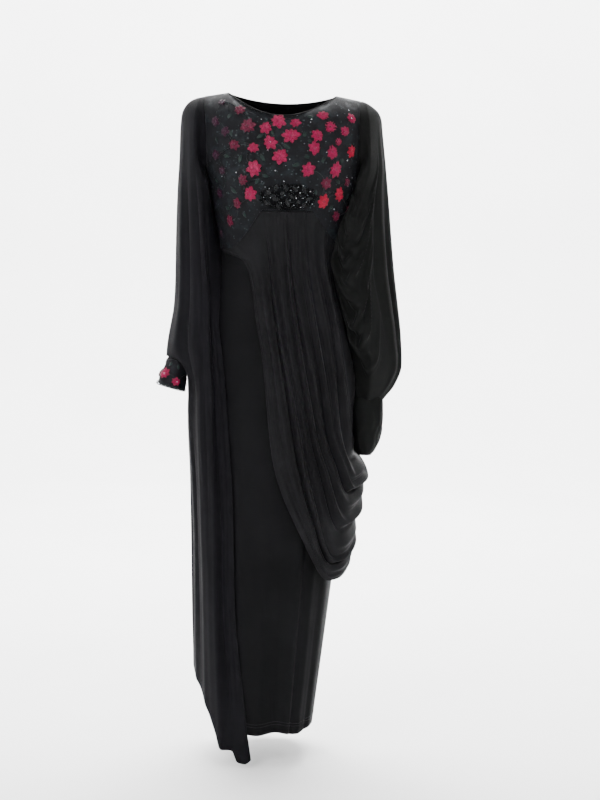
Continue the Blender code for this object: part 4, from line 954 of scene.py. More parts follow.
# Finer creases: place at the shoulder and at the hem, width, height, and the heights where each
# begins and ends
RIGHT_CREASES = [
    (0.1, 0.095, 0.011, -0.0045, -0.22, -1.46), (0.06, 0.05, 0.012, 0.003, -0.46, -1.4),
    (0.19, 0.185, 0.01, -0.0022, -0.1, -1.1), (0.222, 0.222, 0.009, 0.002, -0.24, -0.95),
    (0.3, 0.292, 0.008, -0.0034, -0.18, -0.66), (0.34, 0.33, 0.012, -0.0022, -0.7, -1.38),
    (0.405, 0.41, 0.011, -0.0026, -0.3, -0.5), (0.455, 0.44, 0.014, 0.0022, -0.84, -1.44),
    (0.56, 0.565, 0.014, -0.0022, -0.16, -0.5), (0.672, 0.665, 0.012, -0.0034, -0.14, -1.1),
    (0.7, 0.71, 0.01, 0.0022, -0.64, -1.4), (0.79, 0.78, 0.012, -0.0036, -0.2, -1.36),
    (0.905, 0.91, 0.011, -0.004, -0.24, -1.44), (0.94, 0.945, 0.01, 0.0022, -0.6, -1.3),
]
LEFT_CREASES = [
    (0.325, 0.34, 0.01, -0.0024, -0.1, -0.58), (0.42, 0.43, 0.009, -0.004, -0.22, -0.6),
    (0.51, 0.505, 0.013, -0.0022, -0.2, -0.62), (0.555, 0.552, 0.014, -0.0024, -0.12, -0.56),
    (0.665, 0.655, 0.012, -0.0036, -0.1, -0.62), (0.695, 0.7, 0.009, 0.002, -0.26, -0.54),
    (0.79, 0.785, 0.012, -0.0036, -0.16, -0.62), (0.91, 0.905, 0.012, -0.003, -0.22, -0.58),
]
# Cowls between the dress and the left sleeve: height of each loop's lowest point, its relief
COWLS = [
    (-0.322, 0.007), (-0.352, 0.0105), (-0.386, 0.009), (-0.424, 0.0125), (-0.47, 0.012),
    (-0.516, 0.013), (-0.566, 0.0105), (-0.612, 0.007),
]
COWL_MIDDLE = 0.15
# How far a wing's edges stand off the dress
EDGE_OUT = {
    -1: millimetres("z front back", [
        (-190, 0.6, 0.6), (-420, 0.6, 0.6), (-500, 4.5, 4.5), (-1460, 4.5, 4.5)]),
    1: millimetres("z front back", [
        (-190, 0.6, 0.6), (-300, 1.5, 1.5), (-600, 1.5, 1.5), (-632, 3, 1.5), (-645, 7.2, 1.5),
        (-654, 7.6, 3), (-668, 8, 7.5)]),
}
# Under the armhole the cloth lies along the dress before it turns out into its two folds: x, front
# and back of the turn, and the heights between which it goes over
TUCK = {-1: (0.160, -0.069, 0.062, -0.36, -0.48), 1: (0.160, -0.066, 0.062, -0.215, -0.275)}
SECTION_SHARES = (0.08, 0.12, 0.30, 0.30, 0.12, 0.08)
ARMHOLE_SHARES = (0.0, 0.05, 0.14, 0.27, 0.42, 0.60, 0.76, 0.89)


def through(points, shares, count):
    """Points on a smooth curve through a few points; each stretch gets its share of them."""
    known = np.array(points, dtype=float)
    known = np.vstack([2 * known[0] - known[1], known, 2 * known[-1] - known[-2]])
    t = np.linspace(0, 1, 25)[:, None]
    fine, place, done = [], [], 0.0
    for i, share in enumerate(shares):
        a, b, c, d = known[i:i + 4]
        near = np.linalg.norm(c - b)
        before, after = max(np.linalg.norm(b - a), 1e-9), max(np.linalg.norm(d - c), 1e-9)
        leave = (c - a) / 2 * min(1.0, 2 * near / (near + before))
        arrive = (d - b) / 2 * min(1.0, 2 * near / (near + after))
        stretch = ((2 * t ** 3 - 3 * t * t + 1) * b + (t ** 3 - 2 * t * t + t) * leave
                   + (3 * t * t - 2 * t ** 3) * c + (t ** 3 - t * t) * arrive)
        length = lengths_along(stretch)
        fine.append(stretch[:-1])
        place.append(done + share * length[:-1] / length[-1])
        done += share
    return points_at(np.linspace(0, done, count), np.concatenate(place + [[done]]),
                     np.vstack(fine + [known[-2:-1]]))


def wing_edge(side, z, degrees, out, back):
    """Where a wing's edge meets the dress: the armhole above the underarm, the skirt below it."""
    if z <= UNDERARM_Z:
        return skirt_surface(np.float64(side * degrees), z, WALL + out)
    drop = drop_at(side * SHOULDER_TIP_X, min(z, float(shoulder_line(side * SHOULDER_TIP_X))))
    point = torso(side * side_girth(z), drop, 0.0, back)
    point[0] += side * (SEAM + TULLE + 0.0012 * smooth(-0.10, UNDERARM_Z, z))
    return point


def wing_section(side, table, z, columns):
    """Points of a wing's level section, from its front edge over the outer edge to its back."""
    value = {name: float(table.at(name, z)) for name in table.columns}
    outer_z = value["outer_z"]
    lean_z = outer_z + (z - outer_z) * 0.45
    tuck_x, front_y, back_y, start, end = TUCK[side]
    held = float(smooth(-0.150, -0.196, z) * smooth(end, start, z))
    half_sections = []
    for label, x, y, tuck_y in (("front", value["fold_x"], -value["fold_y"], front_y),
                                ("back", value["back_x"], value["back_y"], back_y)):
        out = float(EDGE_OUT[side].at(label, z))
        edge = wing_edge(side, z, value[label + "_deg"], out, label == "back")
        fold = np.array((side * x, y, lean_z))
        tuck = edge + (fold - edge) * 0.4
        tuck += held * (np.array((side * tuck_x, tuck_y, z)) - tuck)
        half_sections.append([edge, tuck, fold])
    outer = (side * value["outer_x"], value["outer_y"], outer_z)
    front, back = half_sections
    return through([*front, outer, *back[::-1]], SECTION_SHARES, columns)


def wing_relief(folds, creases, place, level, fade, last_z):
    total = 0.0
    for top, low, width, height in folds:
        off = place - (top + (low - top) * fade)
        fold = 0.45 * bump(off, width) + 0.65 * crest(off, width * 0.62, 1.3)
        total = total + height * fade * fold
    for top, low, width, height, begin, end in creases:
        share = smooth(0.0, last_z, level)
        middle = top + (low - top) * share + 0.004 * np.sin(14 * level + 50 * top)
        reach = smooth(begin, begin - 0.16, level) * smooth(end - 0.02, end + 0.16, level)
        total = total + height * crest(place - middle, width, 1.25) * reach
    return total * smooth(0.0, 0.05, place) * smooth(1.0, 0.95, place)


def refined(levels, spacing):
    """Levels with each gap divided evenly, about as close as the spacing."""
    fine = []
    for first, after in zip(levels, levels[1:]):
        count = max(1, round(abs(after - first) / spacing))
        fine += list(np.linspace(first, after, count, endpoint=False))
    return fine + [levels[-1]]


def armhole_levels(side):
    tip = float(shoulder_line(side * SHOULDER_TIP_X))
    return [tip + (UNDERARM_Z - tip) * share for share in ARMHOLE_SHARES] + [UNDERARM_Z]


# The wrist opening of the long wing
WRIST_MIDDLE = np.array((-0.2312, -0.010, -0.5780))
WRIST_AXIS = unit(np.array((-0.28, -0.06, -0.955)))
WRIST_RADIUS = 0.0280
WRIST_TOP = -0.540
WRIST_LOW = -0.650
WRIST_COLUMNS = 8       # half width of the opening in the wing's grid
WRIST_REACH = 30        # rows and columns round the opening that its rim leads with it


def wrist_ring(angle, along=0.0, grow=0.0):
    """Points of the wrist's ring: 90 degrees is away from the dress, 0 is the front."""
    aside = unit(np.array((WRIST_AXIS[2], 0, -WRIST_AXIS[0])))
    ahead = np.cross(WRIST_AXIS, aside)
    ahead *= -np.sign(ahead[1])
    turn = np.radians(angle)[..., None]
    radius = WRIST_RADIUS + np.asarray(grow)[..., None]
    return (WRIST_MIDDLE + WRIST_AXIS * np.asarray(along)[..., None]
            + aside * np.sin(turn) * radius + ahead * np.cos(turn) * radius)


def fit_wrist(points, hole):
    """Lead the rim of the opening in a wing to the wrist's ring, and the cloth round it with it."""
    top, bottom, left, right = hole
    rim = [(top, j) for j in range(left, right)] + [(i, right) for i in range(top, bottom)]
    rim += [(bottom, j) for j in range(right, left, -1)]
    rim += [(i, left) for i in range(bottom, top, -1)]
    share_round = ((right - left) / 2 - np.arange(len(rim))) / len(rim)
    rows, columns = np.array(rim).T
    moves = wrist_ring(90 - 360 * share_round) - points[rows, columns]
    for i in range(max(top - WRIST_REACH, 1), min(bottom + WRIST_REACH, points.shape[0] - 1)):
        for j in range(max(left - WRIST_REACH, 1), min(right + WRIST_REACH, points.shape[1] - 1)):
            off = np.hypot(rows - i, columns - j)
            near = off.min() / WRIST_REACH
            if near < 1:
                weight = 1 / (off ** 3 + 1e-6)
                pull = (weight[:, None] * moves).sum(axis=0) / weight.sum()
                points[i, j] += (1 - near) ** 2 * (1 + near) * pull
    return points


def make_right_wing():
    upper = refined(armhole_levels(-1) + [WRIST_TOP], 0.0052)
    beside_wrist = list(np.linspace(WRIST_TOP, WRIST_LOW, 2 * WRIST_COLUMNS + 1))
    levels = upper[:-1] + beside_wrist + list(np.linspace(WRIST_LOW, HEM_START_Z, 10)[1:])
    place = np.linspace(0, 1, LONG_WING_COLUMNS)
    sections = [wing_section(-1, RIGHT_WING, z, LONG_WING_COLUMNS) for z in levels]
    for share in np.linspace(0, 1, HEM_ROWS + 1)[1:]:
        levels.append(HEM_START_Z + (LONG_WING_LOW - HEM_START_Z) * share)
        section = wing_section(-1, RIGHT_WING, levels[-1], LONG_WING_COLUMNS)
        away = np.abs(section[:, 0])
        hem = np.where(place > 0.5, WING_HEM.at("back", away), WING_HEM.at("front", away))
        section[:, 2] = HEM_START_Z + (hem - HEM_START_Z) * share
        sections.append(section)
    place, level = np.meshgrid(place, levels)
    fade = smooth(-0.05, -0.40, level)
    relief = wing_relief(RIGHT_FOLDS, RIGHT_CREASES, place, level, fade, LONG_WING_LOW)
    relief = relief + 0.0012 * drift(place * 26, level * 6, 31) * fade
    points = outward(np.array(sections), relief, -1.0)
    first, middle = len(upper) - 1, (LONG_WING_COLUMNS - 1) // 2
    hole = (first, first + 2 * WRIST_COLUMNS, middle - WRIST_COLUMNS, middle + WRIST_COLUMNS)
    points = fit_wrist(points, hole)
    piece = jersey_piece("long_wing_cloth", "wing_right", points, JERSEY_LONG_PAINTED_LIGHT, hole=hole, flip=True)
    return piece, points


def make_left_wing():
    levels = refined(armhole_levels(1) + [-0.275, -0.63, BATWING_LOW], 0.0036)
    points = np.array([wing_section(1, LEFT_WING, z, BATWING_COLUMNS) for z in levels])
    place, level = np.meshgrid(np.linspace(0, 1, BATWING_COLUMNS), levels)
    fade = smooth(-0.05, -0.36, level) * smooth(BATWING_LOW, -0.60, level)
    relief = wing_relief(LEFT_FOLDS, LEFT_CREASES, place, level, fade, BATWING_LOW)
    window = smooth(0.0, 0.05, place) * smooth(0.35, 0.19, place)
    for low, height in COWLS:
        bent = place - COWL_MIDDLE - 0.03 * np.sin(90 * low)
        loop = points[..., 2] - low - 0.02 - 5.0 * bent ** 2 - 0.12 * bent
        loop = loop - 0.004 * np.sin(30 * place + 60 * low)
        uneven = 1 + 0.35 * np.sin(25 * place + 40 * low)
        cowl = 0.55 * bump(loop, 0.0135) + 0.62 * crest(loop, 0.0100, 1.25)
        relief = relief + window * height * uneven * cowl
        relief = relief + window * 0.0022 * crest(loop + 0.018 + 0.05 * bent, 0.0045)
    relief = relief + 0.0010 * drift(place * 30, level * 14, 33) * fade
    points = outward(points, relief)
    return jersey_piece("batwing_cloth", "wing_left", points, JERSEY_BATWING_PAINTED_LIGHT), points


# Cuffs
SLEEVE_END = millimetres("z x y half_x half_y", [
    (-652, 189.5, -3, 30, 21.5), (-662, 189, -3.5, 31.8, 24), (-670, 188.5, -5, 33, 26.2),
    (-700, 186.8, -10, 33.8, 29), (-735, 186.2, -13, 33.4, 29.5), (-755, 186, -14, 31.5, 28),
    (-772, 184.5, -15, 26.5, 24.5), (-783, 183, -15, 20.5, 21), (-789.5, 182, -15, 14.5, 18),
])
SLEEVE_END_TOP, SLEEVE_END_LOW = -0.6520, -0.7905
CUFF_LENGTH = 0.066
CUFF_FLARE = 0.0080
CUFF_TUCK = 0.0042      # how far the cuff lies inside the wrist's ring at its top
CUFF_START = 0.0006


def make_left_cuff():
    z = np.linspace(SLEEVE_END_TOP, SLEEVE_END_LOW, 66)[:, None]
    degrees = np.linspace(0, 360, 96, endpoint=False)[None, :]
    turn = np.radians(degrees)
    below_seam = smooth(-0.67, -0.70, z)
    soft = 1 + 0.06 * np.sin(3 * turn + 40 * z)
    soft = soft + 0.022 * np.sin(7 * turn + 25 * z) * below_seam
    soft = soft + 0.014 * np.sin(11 * turn - 60 * z + 2 * np.sin(90 * z)) * below_seam
    soft = soft - 0.07 * crest(turn_from(40 - 500 * (z + 0.7), degrees), 16)
    soft = soft - 0.05 * crest(turn_from(230 + 300 * (z + 0.7), degrees), 20)
    x = SLEEVE_END.at("x", z) + SLEEVE_END.at("half_x", z) * soft * np.sin(turn)
    y = SLEEVE_END.at("y", z) - SLEEVE_END.at("half_y", z) * soft * np.cos(turn)
    points = together(x, y, z)
    return jersey_piece("sleeve_end_cloth", "cuff_left", points, JERSEY_BATWING_PAINTED_LIGHT, closed=True)


def on_cuff(around, down, out=0.0):
    angle = np.degrees(np.asarray(around) / WRIST_RADIUS)
    flare = CUFF_FLARE * smooth(0, CUFF_LENGTH, down)
    return wrist_ring(angle, CUFF_START + np.asarray(down), flare - CUFF_TUCK + np.asarray(out))


def make_right_cuff():
    around = np.linspace(-math.pi, math.pi, 84, endpoint=False) * WRIST_RADIUS
    around, down = np.meshgrid(around, np.linspace(0, CUFF_LENGTH, 22))
    points = on_cuff(around, down, 0.0006 * np.sin(around / WRIST_RADIUS * 5 + down * 60))
    return tulle_piece("cuff_cloth", "cuff_right", points, TULLE_CUFF, closed=True)


# Sewn flowers, leaves and beads
STONE_SCALE = 0.40      # radius of a crystal as built, over the radius in its row
CENTRE_BEAD = 0.0011
STAMENS = 5
STAMEN_REACH = 0.0034
YOKE_SEQUINS = 420
MOTIF_EDGE_BEADS = 110
MOTIF_INNER_BEADS = 170
CUFF_EDGE_BEADS = 60
# Flowers of the yoke: x and z of the middle, radius in millimetres, petals, satin. The wine and
# plum satins are painted shade, set on the flowers that lie in shade, most of them on the left
YOKE_FLOWERS = [
    (-9, -64, 15, 6, "magenta"), (29, -67, 10, 6, "magenta"), (-34, -78, 13, 6, "magenta"),
    (19, -95, 17, 7, "magenta"), (-25, -109, 15, 6, "magenta"), (-3, -139, 17, 6, "magenta"),
    (85, -51, 13, 6, "magenta"), (101, -75, 15, 6, "magenta"), (75, -94, 13, 6, "magenta"),
    (147, -56, 13, 6, "magenta"), (133, -84, 12, 6, "magenta"), (119, -107, 9, 5, "magenta"),
    (68, -122, 14, 6, "magenta"), (106, -128, 15, 6, "magenta"), (146, -125, 14, 6, "scarlet"),
    (54, -169, 16, 6, "magenta"), (114, -166, 17, 7, "magenta"), (92, -196, 14, 6, "painted_shade"),
    (120, -219, 15, 6, "scarlet"), (88, -235, 15, 6, "scarlet"), (114, -266, 12, 6, "painted_shade"),
    (138, -192, 10, 5, "painted_shade"), (140, -250, 11, 5, "painted_shade"), (-58, -166, 17, 6, "magenta"),
    (-83, -190, 12, 6, "painted_shade"), (-67, -220, 16, 6, "magenta"), (-95, -239, 12, 5, "painted_shade"),
    (-62, -121, 12, 6, "magenta"), (-101, -113, 12, 6, "painted_shade"), (-73, -74, 16, 7, "painted_shade"),
    (-90, -40, 13, 6, "painted_shade"), (-129, -22, 10, 5, "painted_deep_shade"), (-142, -62, 12, 6, "painted_deep_shade"),
    (-121, -83, 11, 5, "painted_deep_shade"), (-140, -134, 12, 5, "painted_deep_shade"), (-126, -168, 10, 5, "painted_deep_shade"),
    (-133, -214, 11, 5, "painted_deep_shade"), (-112, -275, 12, 5, "painted_shade"), (-130, -300, 9, 5, "painted_deep_shade"),
]
# Leaves of the yoke: x and z of the middle, length in millimetres, turn in degrees
YOKE_LEAVES = [
    (10, -118, 20, 35), (48, -92, 18, 110), (52, -140, 20, 20), (-46, -96, 18, 150),
    (126, -146, 19, 60), (87, -146, 17, 120), (-41, -142, 19, 60), (30, -158, 18, 160),
    (118, -192, 17, 30), (-88, -144, 19, 120), (-103, -211, 19, 40), (-110, -88, 17, 70),
    (-52, -192, 18, 130), (70, -216, 18, 75), (60, -55, 17, 20), (-112, -52, 16, 140),
    (139, -222, 15, 95), (-117, -247, 16, 20), (-118, -137, 18, 10), (-35, -181, 16, 15),
    (104, -246, 15, 140), (-80, -262, 15, 60), (-20, -88, 13, 80), (58, -106, 13, 30),
    (124, -64, 13, 60), (92, -110, 13, 10), (-140, -100, 14, 80), (-140, -188, 14, 50),
]
# Crystals of the yoke: x and z, radius in millimetres
YOKE_CRYSTALS = [
    (62, -60, 4), (60, -66, 2.6), (117, -50, 3.6), (142, -38, 2.8), (47, -112, 3.6),
    (92, -107, 3.2), (94, -130, 3), (138, -146, 3.8), (140, -135, 2.6), (16, -146, 3.6),
    (8, -160, 2.4), (-14, -170, 3.4), (143, -188, 3.2), (149, -182, 2.8), (137, -182, 2.6),
    (146, -195, 3.4), (140, -200, 2.6), (-97, -173, 3.4), (-128, -180, 2.8), (-43, -193, 3.6),
    (4, -193, 3.4), (-27, -208, 2.8), (110, -250, 3), (128, -300, 2.6), (-44, -60, 3.2),
    (32, -52, 2.2), (100, -62, 2.2), (54, -128, 2.2), (76, -150, 2.6), (128, -112, 2.2),
    (-30, -126, 2.2),
]
# Jet leaves and crystals of the beaded motif under the bust, in the same order
MOTIF_LEAVES = [
    (-29, -216, 20, 150), (-31, -237, 20, 205), (-12, -207, 19, 115), (-13, -230, 18, 180),
    (7, -205, 18, 70), (12, -238, 19, 250), (27, -208, 18, 30), (46, -211, 19, 60),
    (56, -229, 19, 350), (45, -243, 17, 300), (-8, -246, 15, 230), (-20, -222, 15, 190),
    (20, -224, 15, 210), (34, -236, 14, 330), (0, -218, 14, 130), (38, -222, 13, 20),
]
MOTIF_CRYSTALS = [
    (6, -222, 3.6), (29, -228, 3.8), (37, -217, 3.4), (-24, -227, 3.4), (58, -214, 3.2),
    (24, -243, 3.6), (43, -228, 3.6), (62, -240, 3.2), (-38, -226, 3), (18, -212, 3.2),
    (50, -236, 3.4), (33, -205, 3), (44, -202, 3), (-35, -205, 3.2), (16, -232, 2.8),
    (52, -222, 2.8), (-2, -238, 2.8), (38, -247, 3.2),
]
MOTIF_MIDDLE = (0.013, -0.2255)
MOTIF_HALF = (0.061, 0.0275)
MOTIF_WALL = 0.0008
# Flowers of the cuff: degrees round it, distance down it and radius in millimetres, petals
CUFF_FLOWERS = [
    (40, 38, 11.5, 6), (-20, 48, 8.5, 6), (-92, 28, 10, 6), (-128, 40, 8, 6), (105, 40, 9, 6),
    (160, 28, 10, 6), (-163, 42, 8, 6),
]
# Leaves of the cuff: degrees round it, distance down it and length in millimetres, turn
CUFF_LEAVES = [
    (72, 10, 13, 80), (28, 14, 13, 60), (-12, 16, 12, 110), (-68, 22, 13, 60), (132, 16, 13, 100),
    (80, 46, 11, 20), (-120, 14, 12, 70), (-15, 50, 10, 170),
]


def sewn_satin(pile, name, material, thickness=0.0):
    return pile.build(name, material, "embroidered_tulle", thickness)


def sewn_beads(pile, name, material):
    return pile.build(name, material, "jet_beadwork", flat_faces=True)


def on_open_yoke(x, z):
    """Whether a place lies inside the yoke's cut edges, clear of its bindings."""
    low = seam_under_yoke(np.degrees(np.arcsin(np.clip(x / RINGS.at("half", z), -1, 1))))
    in_neck = abs(x) < NECK_HALF and z > neck_line(x, FRONT_NECK_DROP) - 0.006
    return low + 0.006 <= z <= shoulder_line(x) - 0.01 and not in_neck


def make_yoke_work():
    """Flowers, leaves, stems, crystals and sequins of the yoke."""
    rng = np.random.default_rng(17)
    flowers = {satin_name: Pile(torso, TULLE) for satin_name in PETALS}
    stones, beads, leaves, stems, sequins = [Pile(torso, TULLE) for _ in range(5)]
    middles = []
    for g, d, radius, petals, satin_name in in_millimetres(YOKE_FLOWERS):
        flowers[satin_name].add_flower(g, d, 0.94 * radius / 1000, petals, 40 * g)
        middles.append((g, d, radius / 1000))
        bright = satin_name == "magenta" and len(middles) % 5 == 0
        (stones if bright else beads).add_stone(g, d, CENTRE_BEAD, 0.0032)
        for k in range(STAMENS):
            angle = ROUND * k / STAMENS + 9 * g
            beads.add_stone(g + STAMEN_REACH * math.cos(angle), d + STAMEN_REACH * math.sin(angle),
                            0.0010, 0.0026, 6, 1.0)
    for g, d, length, turn in in_millimetres(YOKE_LEAVES):
        leaves.add_leaf(g, d, length / 1000, math.radians(turn))
    for g, d, radius in in_millimetres(YOKE_CRYSTALS):
        stones.add_stone(g, d, radius / 1000 * STONE_SCALE, 0.0004)
    for i, (g, d, _) in enumerate(middles):
        far = [math.hypot(a - g, b - d) for a, b, _ in middles]
        for k in sorted(range(len(middles)), key=far.__getitem__)[1:3]:
            if k > i or rng.random() < 0.35:
                stems.add_stem((g, d), middles[k][:2], rng.uniform(-0.35, 0.35))
    count = 0
    while count < YOKE_SEQUINS:
        x, z = rng.uniform(-0.155, 0.158), rng.uniform(-0.325, -0.02)
        g, d = on_panel(x, z)
        if on_open_yoke(x, z) and all(math.hypot(g - a, d - b) >= radius * 0.75
                                      for a, b, radius in middles):
            sequins.add_stone(g, d, rng.uniform(0.0010, 0.0021), 0.0003, 7, 0.30)
            count += 1
    return [*(sewn_satin(pile, "yoke_flowers_" + key, PETALS[key], SATIN_WALL)
              for key, pile in flowers.items()),
            sewn_satin(leaves, "yoke_leaves", LEAF_SATIN, SATIN_WALL),
            sewn_satin(stems, "yoke_stems", CORD),
            sewn_beads(stones, "yoke_crystals", CRYSTAL),
            sewn_beads(beads, "yoke_seed_beads", SEQUIN),
            sewn_beads(sequins, "yoke_sequins", SEQUIN)]


def in_motif(share, turn):
    """Girth and drop of a place in the motif: share of the way out from its middle, and turn."""
    return on_panel(MOTIF_MIDDLE[0] + MOTIF_HALF[0] * share * np.cos(turn),
                    MOTIF_MIDDLE[1] + MOTIF_HALF[1] * share * np.sin(turn))


def make_motif():
    """The beaded motif under the bust, on its own scalloped patch of net."""
    base = YOKE_WALL + 0.0004
    turn = np.linspace(0, ROUND, 88, endpoint=False)[None, :]
    share = np.linspace(0.02, 1, 14)[:, None]
    girth, drop = in_motif((1 + 0.05 * np.cos(11 * turn)) * share, turn)
    patch = tulle_piece("motif_patch", "waist_motif", torso(girth, drop, base), TULLE_MOTIF,
                        MOTIF_WALL, closed=True, flip=True)
    jets, stones, seeds = [Pile(torso, base + MOTIF_WALL) for _ in range(3)]
    for g, d, length, turn in in_millimetres(MOTIF_LEAVES):
        jets.add_jet_leaf(g, d, length / 1000, math.radians(turn))
    for g, d, radius in in_millimetres(MOTIF_CRYSTALS):
        stones.add_stone(g, d, radius / 1000 * STONE_SCALE, 0.0012, 8, 0.9)
    for turn in np.linspace(0, ROUND, MOTIF_EDGE_BEADS, endpoint=False):
        seeds.add_stone(*in_motif(0.94 + 0.05 * math.cos(11 * turn), turn), 0.0012, 0.0, 6, 1.0)
    rng = np.random.default_rng(23)
    for _ in range(MOTIF_INNER_BEADS):
        turn, share = rng.uniform(0, ROUND), rng.uniform(0.05, 0.84) ** 0.6
        seeds.add_stone(*in_motif(share, turn), rng.uniform(0.0010, 0.0018), 0.0002, 6, 1.1)
    return [patch, sewn_beads(jets, "motif_jet_leaves", JET),
            sewn_beads(stones, "motif_crystals", CRYSTAL),
            sewn_beads(seeds, "motif_seed_beads", JET)]


def make_cuff_work():
    """Flowers, leaves and beads of the embroidered cuff."""
    flowers, leaves, stones, seeds, stems = [Pile(on_cuff, TULLE) for _ in range(5)]
    middles = []
    for angle, down, radius, petals in CUFF_FLOWERS:
        g, d = math.radians(angle) * WRIST_RADIUS, down / 1000
        flowers.add_flower(g, d, radius / 1000, petals, 0.4)
        stones.add_stone(g, d, CENTRE_BEAD, 0.0032)
        middles.append((g, d))
    for angle, down, length, turn in CUFF_LEAVES:
        leaves.add_leaf(math.radians(angle) * WRIST_RADIUS, down / 1000, length / 1000,
                        math.radians(turn))
    for first, after in zip(middles, middles[1:]):
        stems.add_stem(first, after, 0.2)
    for k in range(CUFF_EDGE_BEADS):
        g = ROUND * k / CUFF_EDGE_BEADS * WRIST_RADIUS
        (seeds if k % 3 else stones).add_stone(g, CUFF_LENGTH - 0.0025, 0.0013, 0.0, 6, 1.0)
        inner = CUFF_LENGTH - 0.0060 - 0.0015 * math.sin(1.3 * k)
        seeds.add_stone(g + 0.0014, inner, 0.0010, 0.0, 6, 1.0)
    return [sewn_satin(flowers, "cuff_flowers", PETALS["magenta"], SATIN_WALL),
            sewn_satin(leaves, "cuff_leaves", LEAF_SATIN, SATIN_WALL),
            sewn_satin(stems, "cuff_stems", CORD),
            sewn_beads(stones, "cuff_crystals", CRYSTAL),
            sewn_beads(seeds, "cuff_seed_beads", SEQUIN)]


# Sewing
ROLLED_HEM = 0.0010
SIDE_SEAM = 0.0008
SHOULDER_SEAM = 0.0009
ARMHOLE_SEAM = 0.0014
NECK_BINDING = 0.0016
ARCH_BINDING = 0.0013


def make_seams(skirt_front, skirt_back, swag, long_wing, batwing):
    """Bindings, rolled hems, seams and their stitches."""
    binding, hems, stitches = Pile(), Pile(), Pile()
    x = np.linspace(-NECK_HALF, NECK_HALF, 90)
    for drop, back in ((FRONT_NECK_DROP, False), (BACK_NECK_DROP, True)):
        g, d = on_panel(x, neck_line(x, drop))
        binding.add_tube(torso(g, d + 0.0006, 0.0007, back), NECK_BINDING, 8)
        stitches.add_stitches(torso(g, d + 0.0042, TULLE + 0.0001, back))
    for side in (-1, 1):
        shoulder = np.linspace(NECK_HALF, SHOULDER_TIP_X, 12) * side
        g = GIRTH_SCALE * np.arcsin(shoulder / RINGS.at("half", 0))
        hems.add_tube(torso(g, 0 * g, TULLE), SHOULDER_SEAM)
    degrees = np.linspace(-88, 88, 120)
    g, d = round_panel(degrees, seam_under_yoke(degrees))
    binding.add_tube(torso(g, d - 0.0002, 0.0022), ARCH_BINDING, 8)
    stitches.add_stitches(torso(g, d - 0.0040, TULLE + 0.0002))
    for grid in (skirt_front, skirt_back):
        hems.add_tube(grid[-1], ROLLED_HEM)
        for row in (-4, -5):
            stitches.add_stitches(outward(grid, np.full(grid.shape[:2], JERSEY + 0.0002))[row])
    for line in (swag[:, 0], swag[-1], long_wing[-1]):
        hems.add_tube(line, ROLLED_HEM)
    wings = ((long_wing, LONG_WING_SEWN), (batwing, BATWING_SEWN))
    edges = [(wing[:, column], row) for wing, row in wings for column in (0, -1)]
    for edge, row in edges:
        hems.add_tube(edge[row:], ROLLED_HEM)
    for edge, row in edges:
        line = edge[:row + 1]
        hems.add_tube(line - (0.0009 * np.sign(line[:, :1])) * (1, 0, 0), ARMHOLE_SEAM)
    for column in (0, -1):
        hems.add_tube(skirt_front[::3, column], SIDE_SEAM)
    return [pile.build(name, material, "black_jersey") for pile, name, material in (
        (binding, "yoke_bindings", JERSEY_BODY_PAINTED_LIGHT), (hems, "rolled_hems", JERSEY_SWAG_PAINTED_LIGHT),
        (stitches, "stitches", BLACK_THREAD))]


# Stage and light
FLOOR_Z = -1.475
STAGE_RADIUS = 4.3
STAGE_BEND = 1.3
STAGE_HEIGHT = 6.0
STAGE_SIDES = 96
PALE, PALER = (0.86, 0.86, 0.86, 1), (0.90, 0.90, 0.90, 1)
# Lamps: place, target, size, power, colour
LAMPS = {
    "key": ((-1.5, -2.6, 1.0), (0, 0, -0.55), 1.2, 70, (1.0, 0.99, 1.0)),
    "fill": ((2.2, -2.2, 0.2), (0, 0, -0.7), 1.8, 7, (0.99, 1.0, 0.985)),
    "rim_left": ((-2.3, 0.9, 0.3), (0, 0, -0.7), 1.2, 4, (0.93, 0.92, 1.0)),
    "rim_right": ((2.3, 0.9, 0.3), (0, 0, -0.7), 1.2, 2.6, (0.99, 1.0, 0.98)),
    "top": ((0, -0.6, 2.4), (0, 0, -0.3), 1.2, 30, (1, 1, 1)),
    "backdrop": ((0, 2.0, 2.9), (0, 4.6, -0.9), 3.6, 1250, (1, 1, 1)),
    "front_stage": ((0, -2.3, 3.2), (0, -4.9, -0.6), 3.0, 65, (1, 1, 1)),
}
SKY = 0.20


def make_stage():
    """A pale round floor that curves up into a pale wall on every side."""
    turn = np.linspace(0, math.pi / 2, 14)
    reach = [0.01, *(STAGE_RADIUS + STAGE_BEND * np.sin(turn)), STAGE_RADIUS + STAGE_BEND]
    reach = np.array(reach)[:, None]
    z = np.array([0.0, *(STAGE_BEND * (1 - np.cos(turn))), STAGE_HEIGHT])[:, None] + FLOOR_Z
    around = np.linspace(0, ROUND, STAGE_SIDES, endpoint=False)
    points = together(reach * np.cos(around), reach * np.sin(around), z)
    faces = grid_faces(len(reach), STAGE_SIDES, closed=True).reshape(-1, 4).tolist()
    mesh = bpy.data.meshes.new("stage")
    mesh.from_pydata(points.reshape(-1, 3).tolist(), [], faces + [list(range(STAGE_SIDES))])
    mesh.shade_smooth()
    material, shading, shader = new_material("pale_stage")
    cloudy = shading.spread(shading.noise(1.6), 0.3, 0.7)
    shading.join(shading.mixed(cloudy, PALE, PALER), shader["Base Color"])
    shader["Roughness"].default_value = 0.75
    mesh.materials.append(material)
    placed("stage", mesh)


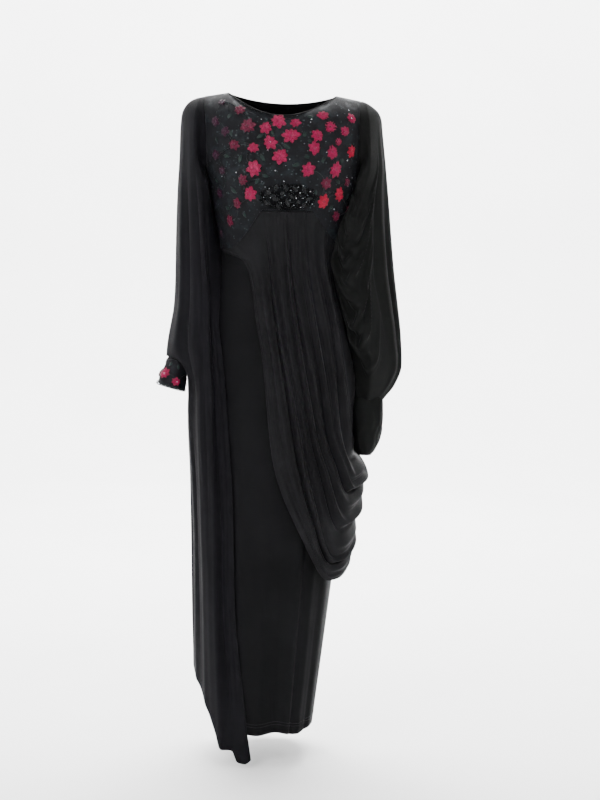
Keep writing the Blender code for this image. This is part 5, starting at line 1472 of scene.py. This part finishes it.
def make_lights():
    for name, (place, target, size, power, colour) in LAMPS.items():
        data = bpy.data.lights.new(name, "AREA")
        data.size = size
        data.energy = power
        data.color = colour
        lamp = placed(name, data)
        lamp.location = place
        away = np.array(place) - np.array(target)
        lamp.rotation_euler = (math.atan2(math.hypot(away[0], away[1]), away[2]), 0,
                               math.atan2(away[0], -away[1]))
    world = bpy.data.worlds.new("studio")
    world.use_nodes = True
    sky = world.node_tree.nodes["Background"].inputs
    sky["Color"].default_value = (1, 1, 1, 1)
    sky["Strength"].default_value = SKY
    bpy.context.scene.world = world


# Flat cuts: width, length, area where the cut isn't a rectangle, and how each is held
FLAT_CUTS = {
    "skirt_front_cloth": (0.50, 1.14, 0.50, "hung"),
    "skirt_back_cloth": (0.50, 1.07, 0.46, "hung"),
    "swag_cloth": (0.55, 0.98, 0.30, "draped"),
    "long_wing_cloth": (0.46, 1.47, 0.56, "hung"),
    "batwing_cloth": (0.44, 0.72, 0.28, "hung"),
    "yoke_cloth": (0.52, 0.36, 0.145, "stretched"),
    "back_bodice_cloth": (0.52, 0.40, 0.155, "stretched"),
    "cuff_cloth": (0.20, 0.066, None, "stretched"),
    "sleeve_end_cloth": (0.20, 0.140, None, "hung"),
    "motif_patch": (0.128, 0.058, 0.0055, "laid"),
}


def main():
    make_camera()
    skirt_front, front_grid = make_skirt("skirt_front", -90, 90, False)
    skirt_back, back_grid = make_skirt("skirt_back", 90, 270, True)
    yoke, back = make_bodice()
    swag, swag_grid_points = make_swag()
    long_wing, long_wing_points = make_right_wing()
    batwing, batwing_points = make_left_wing()
    sleeve_end = make_left_cuff()
    cuff = make_right_cuff()
    yoke_work = make_yoke_work()
    motif_patch, *motif_work = make_motif()
    cuff_work = make_cuff_work()
    bindings, *sewing = make_seams(front_grid, back_grid, swag_grid_points, long_wing_points,
                                   batwing_points)
    going_with = {
        "yoke_cloth": yoke_work + [bindings],
        "motif_patch": motif_work,
        "cuff_cloth": cuff_work,
        "swag_cloth": sewing,
    }
    for piece in (skirt_front, skirt_back, swag, long_wing, batwing, yoke, back, cuff, sleeve_end,
                  motif_patch):
        width, length, area, held = FLAT_CUTS[piece.name]
        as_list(going_with.get(piece.name, []))
    make_stage()
    make_lights()


main()
